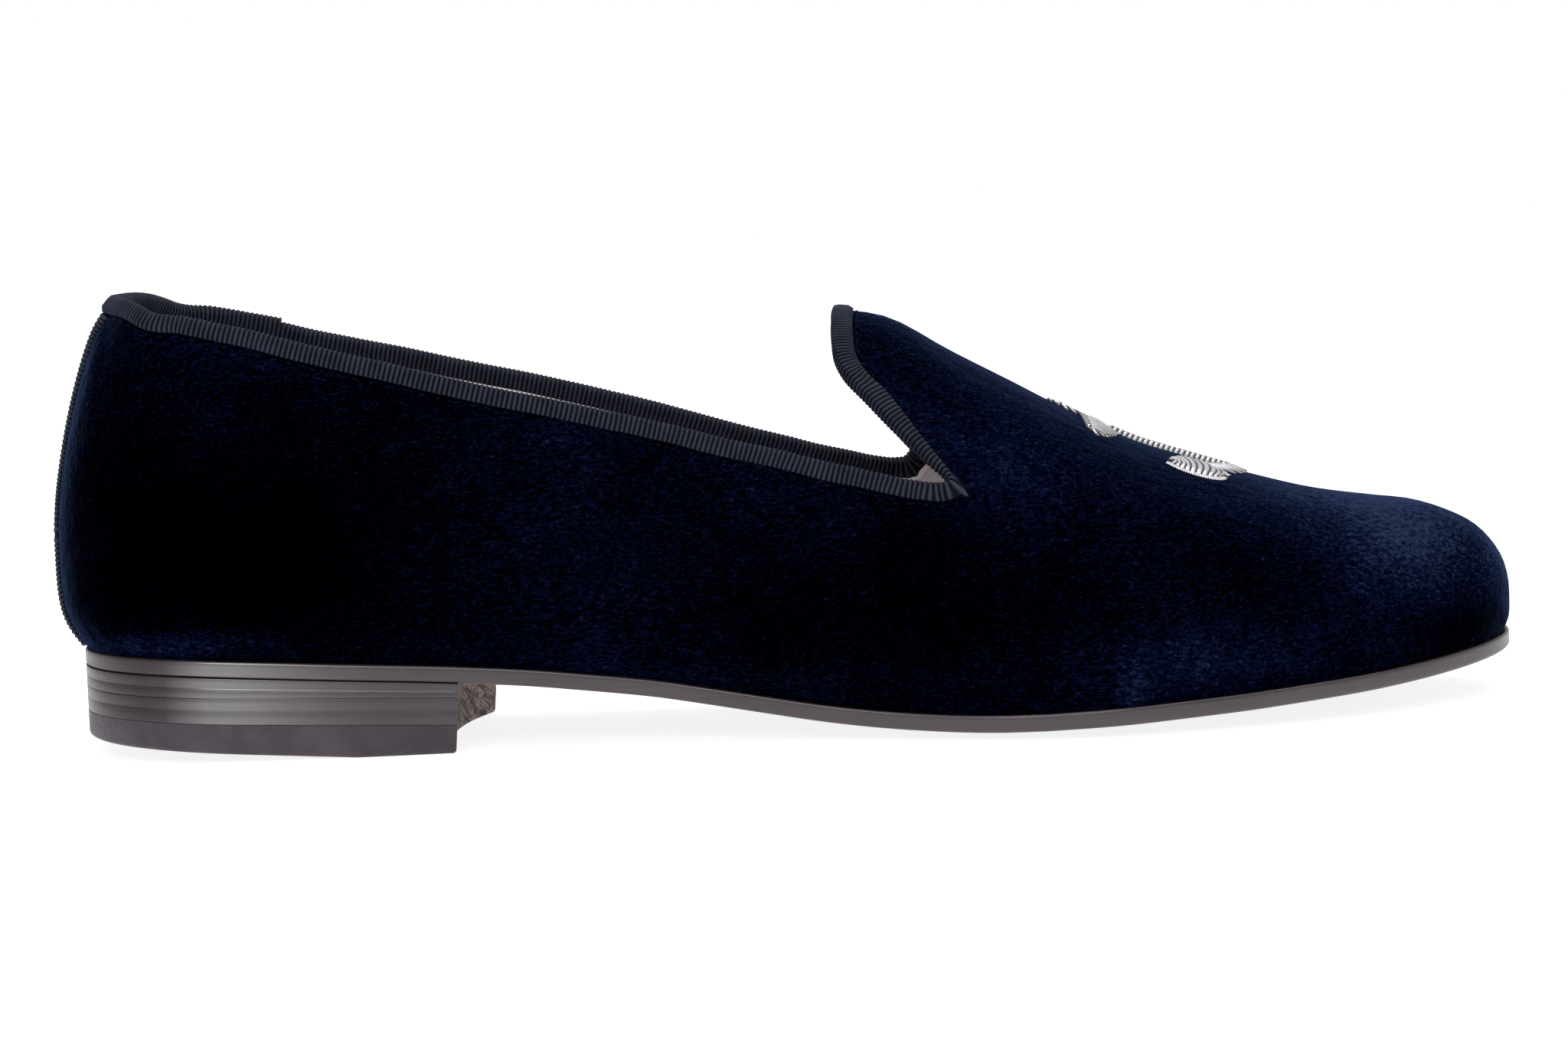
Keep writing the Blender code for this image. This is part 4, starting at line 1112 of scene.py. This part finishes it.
def makeEmblem():
    stock, arm, fluke = emblem["stock"], emblem["arm"], emblem["fluke"]
    turns = np.linspace(-0.1, 2 * math.pi - 0.5, 14)
    ring = [(198 + 2.1 * math.cos(a), 2.3 * math.sin(a)) for a in turns]
    shapes = [
        satin(emblem["shank"], 1), cordAlong(ring, 0.00055, 1),
        cordAlong([(195.8, 0), (194.6, 1.2), (194, 2.8)], 0.00045, 1),
    ]
    for sign in (-1, 1):
        end = [stock["from"][-1], (201.4, 17.6), stock["to"][-1]]
        shapes += [satin(stock, sign), cordAlong(stock["from"], 0.0006, sign)]
        shapes += [cordAlong(offsetPath(stock, a)[6:-1], 0.00034, sign, 0.0011) for a in (0.38, 0.62, 0.84)]
        shapes += [cordAlong(stock["to"], 0.0005, sign, 0.0013), cordAlong(end, 0.00045, sign)]
        shapes += [satin(arm, sign)]
        shapes += [cordAlong(offsetPath(arm, a), 0.00042, sign, 0.003) for a in (0, 0.13, 0.9, 1)]
        shapes += [satin(fluke, sign), rimStitches(fluke["to"], sign)]
    # Each shape's third part is its painted shade: dark in the grooves between threads and strands, bright
    # on their crests.
    points, quads, lay, count = [], [], [], 0
    for shape, faces, grooves in shapes:
        points.append(shape.reshape(-1, 3))
        quads.append(faces + count)
        lay.append(np.broadcast_to(grooves, shape.shape[:-1]).ravel())
        count += len(points[-1])
    points, quads, lay = (np.concatenate(parts) for parts in (points, quads, lay))
    makePiece("vampEmblem", points, quads, [silverThread], None, lay=lay)


makeEmblem()


# Sole and heel: closed bodies of rings drawn in from one outline
sole = {
    "points": 260,
    "spread": 0.9,  # how far the middle line reaches towards the ends
    "edgeRound": 0.00055,
    "lowerRound": 0.0008,
    "insoleThickness": 0.003,
    "insoleRound": 0.0006,
    "dish": 0.0006,
    "dullLine": (0.0806, 0.0145, 1.4, 0.0012),  # place, its height, slant and softness
    "dullShine": 0.22,
    "rubbed": 0.45,
    "wear": 0.08,
}


# Closed body: over the top, round its edge, down the wall, round the foot and in again. ringAt is
# the outline at an inset and a share of the depth, draw pulls a ring by a share to the middle,
# turns counts the rings of each rounding, and wall lists (share of the depth, inset).
def ringBody(ringAt, draw, over, under, rounds, turns, shares, wall):
    rows = []
    high, low = rounds

    def addRow(ring, level):
        rows.append(np.concatenate((ring, level[:, None]), axis=1))

    for share in shares:
        ring = draw(ringAt(high, 0), share)
        addRow(ring, over(*ring.T))
    for turn in np.linspace(0, 0.5 * math.pi, turns[0]):
        ring = ringAt(high * (1 - math.sin(turn)), 0)
        addRow(ring, over(*ring.T) - high * (1 - math.cos(turn)))
    for share, cut in wall:
        ring = ringAt(cut, share)
        addRow(ring, mixed(over(*ring.T) - high, under(*ring.T) + low, share))
    for turn in np.linspace(0, 0.5 * math.pi, turns[1]):
        ring = ringAt(low * (1 - math.cos(turn)), 1)
        addRow(ring, under(*ring.T) + low * (1 - math.sin(turn)))
    for share in shares[::-1]:
        ring = draw(ringAt(low, 1), share)
        addRow(ring, under(*ring.T))
    return np.stack(rows)


def ringSlab(plan, over, under, rounds):  # outline: outer side from back to tip, inner side back again
    def ringAt(inset, share):
        drawn, count = shrunk(plan, inset), sole["points"]
        turn = np.linspace(0, 1, count + 1)
        s = drawn["back"] + (drawn["tip"] - drawn["back"]) * (1 - np.cos(math.pi * turn)) / 2
        s = np.concatenate((s, s[-2:0:-1]))
        side = np.concatenate((np.full(count + 1, -1), np.full(count - 1, 1)))
        return asPoints(s, edgeY(drawn, s, side))

    def draw(ring, share):  # towards a middle line that stops short of the ends
        s = ring[:, 0]
        centre = (s.min() + s.max()) / 2
        sMiddle = centre + (s - centre) * sole["spread"]
        return ring * (1 - share) + asPoints(sMiddle, swing(sMiddle)) * share

    wall = ((0.33, 0), (0.67, 0))
    return ringBody(ringAt, draw, over, under, rounds, (5, 5), (1, 0.75, 0.5, 0.25, 0.08), wall)


# How far the edge is polished: shares at distances from the sole's back, the brightest on the
# heel's flank, and dull ahead of a slanting line at the waist
polishRows = np.array([
    (0, 0.12), (0.004, 0.1), (0.009, 0.05), (0.014, 0.03), (0.018, 0.1), (0.022, 0.52), (0.026, 0.92),
    (0.031, 0.96), (0.036, 0.8), (0.043, 0.52), (0.05, 0.32), (0.057, 0.2), (0.066, 0.2), (0.084, 0.24),
    (0.3, 0.28),
])


def polishAt(points):
    return np.interp(points[..., 0] - solePlan["back"], *polishRows.T)


def makeOutsole():
    grid = ringSlab(solePlan, soleOver, soleUnder, (sole["edgeRound"], sole["lowerRound"]))
    rows, columns = grid.shape[:2]
    place, height, slant, soft = sole["dullLine"]
    dull = smoothStep((grid[..., 0] - solePlan["back"] - place + (grid[..., 2] - height) * slant) / soft)
    polish = polishAt(grid) * (1 - dull) + sole["dullShine"] * dull
    wear = sole["wear"] * (1 - polish)
    wear[12:17] += sole["rubbed"]  # the rows of the lower corner
    under = np.repeat(np.arange(rows - 1) >= 16, columns)
    makePiece(
        "outsoleLeather", grid, gridQuads(rows, columns, wrapColumns=True), [burnishedEdge, soleLeather],
        "sole_leather", "outsole", faceSlots=under, wear=wear, polish=polish,
    )


def makeInsole():
    def under(s, y):
        return soleOver(s, y) + last["gap"] * 0.3

    def over(s, y):
        share = np.abs(y - swing(s)) / np.maximum(halfWidth(insolePlan, s, np.sign(y - swing(s))), 1e-5)
        dish = sole["dish"] * np.clip(share, 0, 1) ** 4
        return soleOver(s, y) + last["gap"] + sole["insoleThickness"] + dish

    grid = ringSlab(shrunk(seamPlan, last["wall"] + 0.0001), over, under, (sole["insoleRound"], 0.0002))
    nap = np.full(grid.shape[:2], 0.15)
    quads = gridQuads(*nap.shape, wrapColumns=True)
    makePiece("insoleSock", grid, quads, [taupeLining], "lining_leather", "insole", nap=nap)


makeOutsole()
makeInsole()

heel = {
    "length": 0.0735,
    "breastSkew": 0.005,
    "breastHollow": 0.0036,
    "breastRake": 0.0009,
    "upperLift": (0.0039, 0.0027),
    "topPiece": (0.0086, 0.0054),
    "rocker": 0.0036,
    "rockerReach": 0.054,
    "sidePoints": 90,
    "breastPoints": 30,
    "edgeRound": 0.00014,
    "footRound": 0.0009,
    "joint": 0.00002,
    "grooveReach": 0.03,
    "middle": 0.04,
    "middleSpread": 0.35,
    "rubbed": 0.3,
}


def breastAt(across, depth):  # front of the heel: skewed, hollow, and further back lower down
    hollow = heel["breastHollow"] * (1 - across**2)
    start = solePlan["back"] + heel["length"] + heel["breastSkew"] * (across + 1) / 2
    return start - hollow - heel["breastRake"] * depth


# Heel outline as one ring: outer breast corner round the back to the inner one, then the breast
def heelRing(inset, depth):
    plan = shrunk(solePlan, inset)
    turn = np.linspace(0, 1, heel["sidePoints"] + 1)
    parts = []
    for side in (-1, 1):
        end = breastAt(side, depth) - inset
        s = plan["back"] + (end - plan["back"]) * (1 - np.cos(0.5 * math.pi * turn))
        parts.append(asPoints(s, edgeY(plan, s, side)))
    across = np.linspace(1, -1, heel["breastPoints"] + 1)[1:-1]
    s = breastAt(across, depth) - inset
    y = swing(s) + across * halfWidth(plan, s, np.where(across < 0, -1, 1))
    return np.concatenate((parts[0][::-1], parts[1][1:], asPoints(s, y)))


def heelMiddle(ring, share):  # a heel ring drawn towards a short line in its middle
    centre = np.array([heel["middle"], 0])
    middle = centre + (ring - centre) * np.array([heel["middleSpread"], 0])
    return ring * (1 - share) + middle * share


# One layer of the heel between two levels, a fine line cut in at a share of its height
def makeHeelLayer(name, node, slot, materials, over, under, depths, groove=None, foot=heel["edgeRound"]):
    def ringAt(inset, share):
        return heelRing(inset, mixed(*depths, share))

    reach = heel["grooveReach"]
    wall = [(groove - reach, 0), (groove, sunk), (groove + reach, 0)] if groove else []
    rounds, shares = (heel["edgeRound"] * 0.6, foot), (1, 0.6, 0.3, 0.1)
    grid = ringBody(ringAt, heelMiddle, over, under, rounds, (4, 6), shares, wall)
    count, columns = grid.shape[:2]
    row, column = np.divmod(np.arange((count - 1) * columns), columns)
    breast = (column >= 2 * heel["sidePoints"]) & (row >= 4) & (row < count - 5)
    flat = (row < 4) | (row >= count - 5)
    polish = polishAt(grid)
    wear = sole["wear"] * (1 - polish)
    wear[-7:-4] += heel["rubbed"]
    makePiece(
        name, grid, gridQuads(count, columns, wrapColumns=True), materials, slot, node,
        faceSlots=np.where(breast, 1, np.where(flat, 2, 0)), wear=wear, polish=polish,
    )


def slopedLevel(back, ahead):  # a level that runs straight from the back of the heel to its breast
    return lambda s, y: back + (ahead - back) * (s - solePlan["back"]) / heel["length"]


def below(level):
    return lambda s, y: level(s, y) - heel["joint"]


def ground(s, y):  # the floor, and off it towards the back edge
    return heel["rocker"] * np.clip(1 - (s - solePlan["back"]) / heel["rockerReach"], 0, 1)


def makeHeel():
    seat = [float(soleBottom(solePlan["back"] + ahead, 0)) for ahead in (0, heel["length"])]
    liftJoint = slopedLevel(*(level - lift for level, lift in zip(seat, heel["upperLift"])))
    topJoint = slopedLevel(*heel["topPiece"])
    edges = [burnishedEdge, rawBreast, soleLeather]
    lifts = (
        ("heelLiftUpper", "heel_lift_upper", below(soleUnder), liftJoint, (0, 0.2), 0.5),
        ("heelLiftLower", "heel_lift_lower", below(liftJoint), topJoint, (0.2, 0.6), 0.45),
    )
    for name, node, over, under, depths, groove in lifts:
        makeHeelLayer(name, node, "sole_leather", edges, over, under, depths, groove)
    makeHeelLayer(
        "heelTopPiece", "heel_top_piece", "top_piece", [heelRubber, rawBreast, heelRubber],
        below(topJoint), ground, (0.6, 1), foot=heel["footRound"],
    )


makeHeel()


# Studio: pale floor, white surroundings, soft light from above, the photograph's camera
studio = {
    "cameraPlace": (-0.02435, -0.7605, 0.1015),
    "lookWay": (0.03122, 1, -0.08276),
    "roll": 2.2,
    "focal": 5081.4,
    "pictureWidth": 2048,
    "sensor": 36,
    "worldLight": 0.6,
    "floorGlow": 0.84,
    "floorReach": 8.0,
}


def makeCamera():  # the picture's up is the floor's up leant by the roll towards the toe
    forward = Vector(studio["lookWay"]).normalized()
    roll = math.radians(studio["roll"])
    right = forward.cross(Vector((math.sin(roll), 0, math.cos(roll)))).normalized()
    lens = bpy.data.cameras.new("photoCamera")
    lens.sensor_width = studio["sensor"]
    lens.lens = studio["focal"] / studio["pictureWidth"] * studio["sensor"]
    camera = linkObject("photoCamera", lens)
    turn = Matrix((right, right.cross(forward), -forward)).transposed().to_4x4()
    camera.matrix_world = Matrix.Translation(Vector(studio["cameraPlace"])) @ turn
    bpy.context.scene.camera = camera


def makeFloor():
    mesh = bpy.data.meshes.new("floor")
    r = studio["floorReach"]
    mesh.from_pydata([(-r, -r, 0.0), (r, -r, 0.0), (r, r, 0.0), (-r, r, 0.0)], [], [(0, 1, 2, 3)])
    material, shader, place = newMaterial("paleFloor", {
        "Roughness": 0.9, "Specular IOR Level": 0.1,
        "Emission Color": (1, 1, 1, 1), "Emission Strength": studio["floorGlow"],
    })
    colour = mixColour(noise(place, 3, 2, 0.5), (0.42, 0.42, 0.42), (0.45, 0.45, 0.45))
    setInputs(shader, {"Base Color": colour})
    mesh.materials.append(material)
    linkObject("floor", mesh)


def addLight(name, place, aim, size, power):
    light = bpy.data.lights.new(name, "AREA")
    light.shape = "RECTANGLE"
    light.size, light.size_y = size
    light.energy = power
    lamp = linkObject(name, light)
    lamp.location = place
    lamp.rotation_mode = "QUATERNION"
    lamp.rotation_quaternion = (Vector(aim) - Vector(place)).to_track_quat("-Z", "Y")


def makeWorld():  # softer light than the white that the camera sees
    world = bpy.data.worlds.new("studioWhite")
    world.use_nodes = True
    tree = world.node_tree
    tree.nodes.clear()
    shades = [
        addNode(tree, "Background", {"Color": (1, 1, 1, 1), "Strength": strength}).outputs[0]
        for strength in (studio["worldLight"], 1)
    ]
    ray = addNode(tree, "LightPath").outputs["Is Camera Ray"]
    mix = addNode(tree, "MixShader", {0: ray, 1: shades[0], 2: shades[1]})
    addNode(tree, "OutputWorld", {"Surface": mix.outputs[0]})
    bpy.context.scene.world = world


makeCamera()
makeFloor()
addLight("topSoftbox", (0.1, 0.1, 1.1), (0, 0, 0.03), (1.2, 0.8), 9)
addLight("frontSoftbox", (-0.25, -1.2, 0.75), (-0.02, 0, 0.03), (0.8, 0.5), 5)
makeWorld()
bpy.context.scene.view_settings.view_transform = "Standard"
print("studio made")
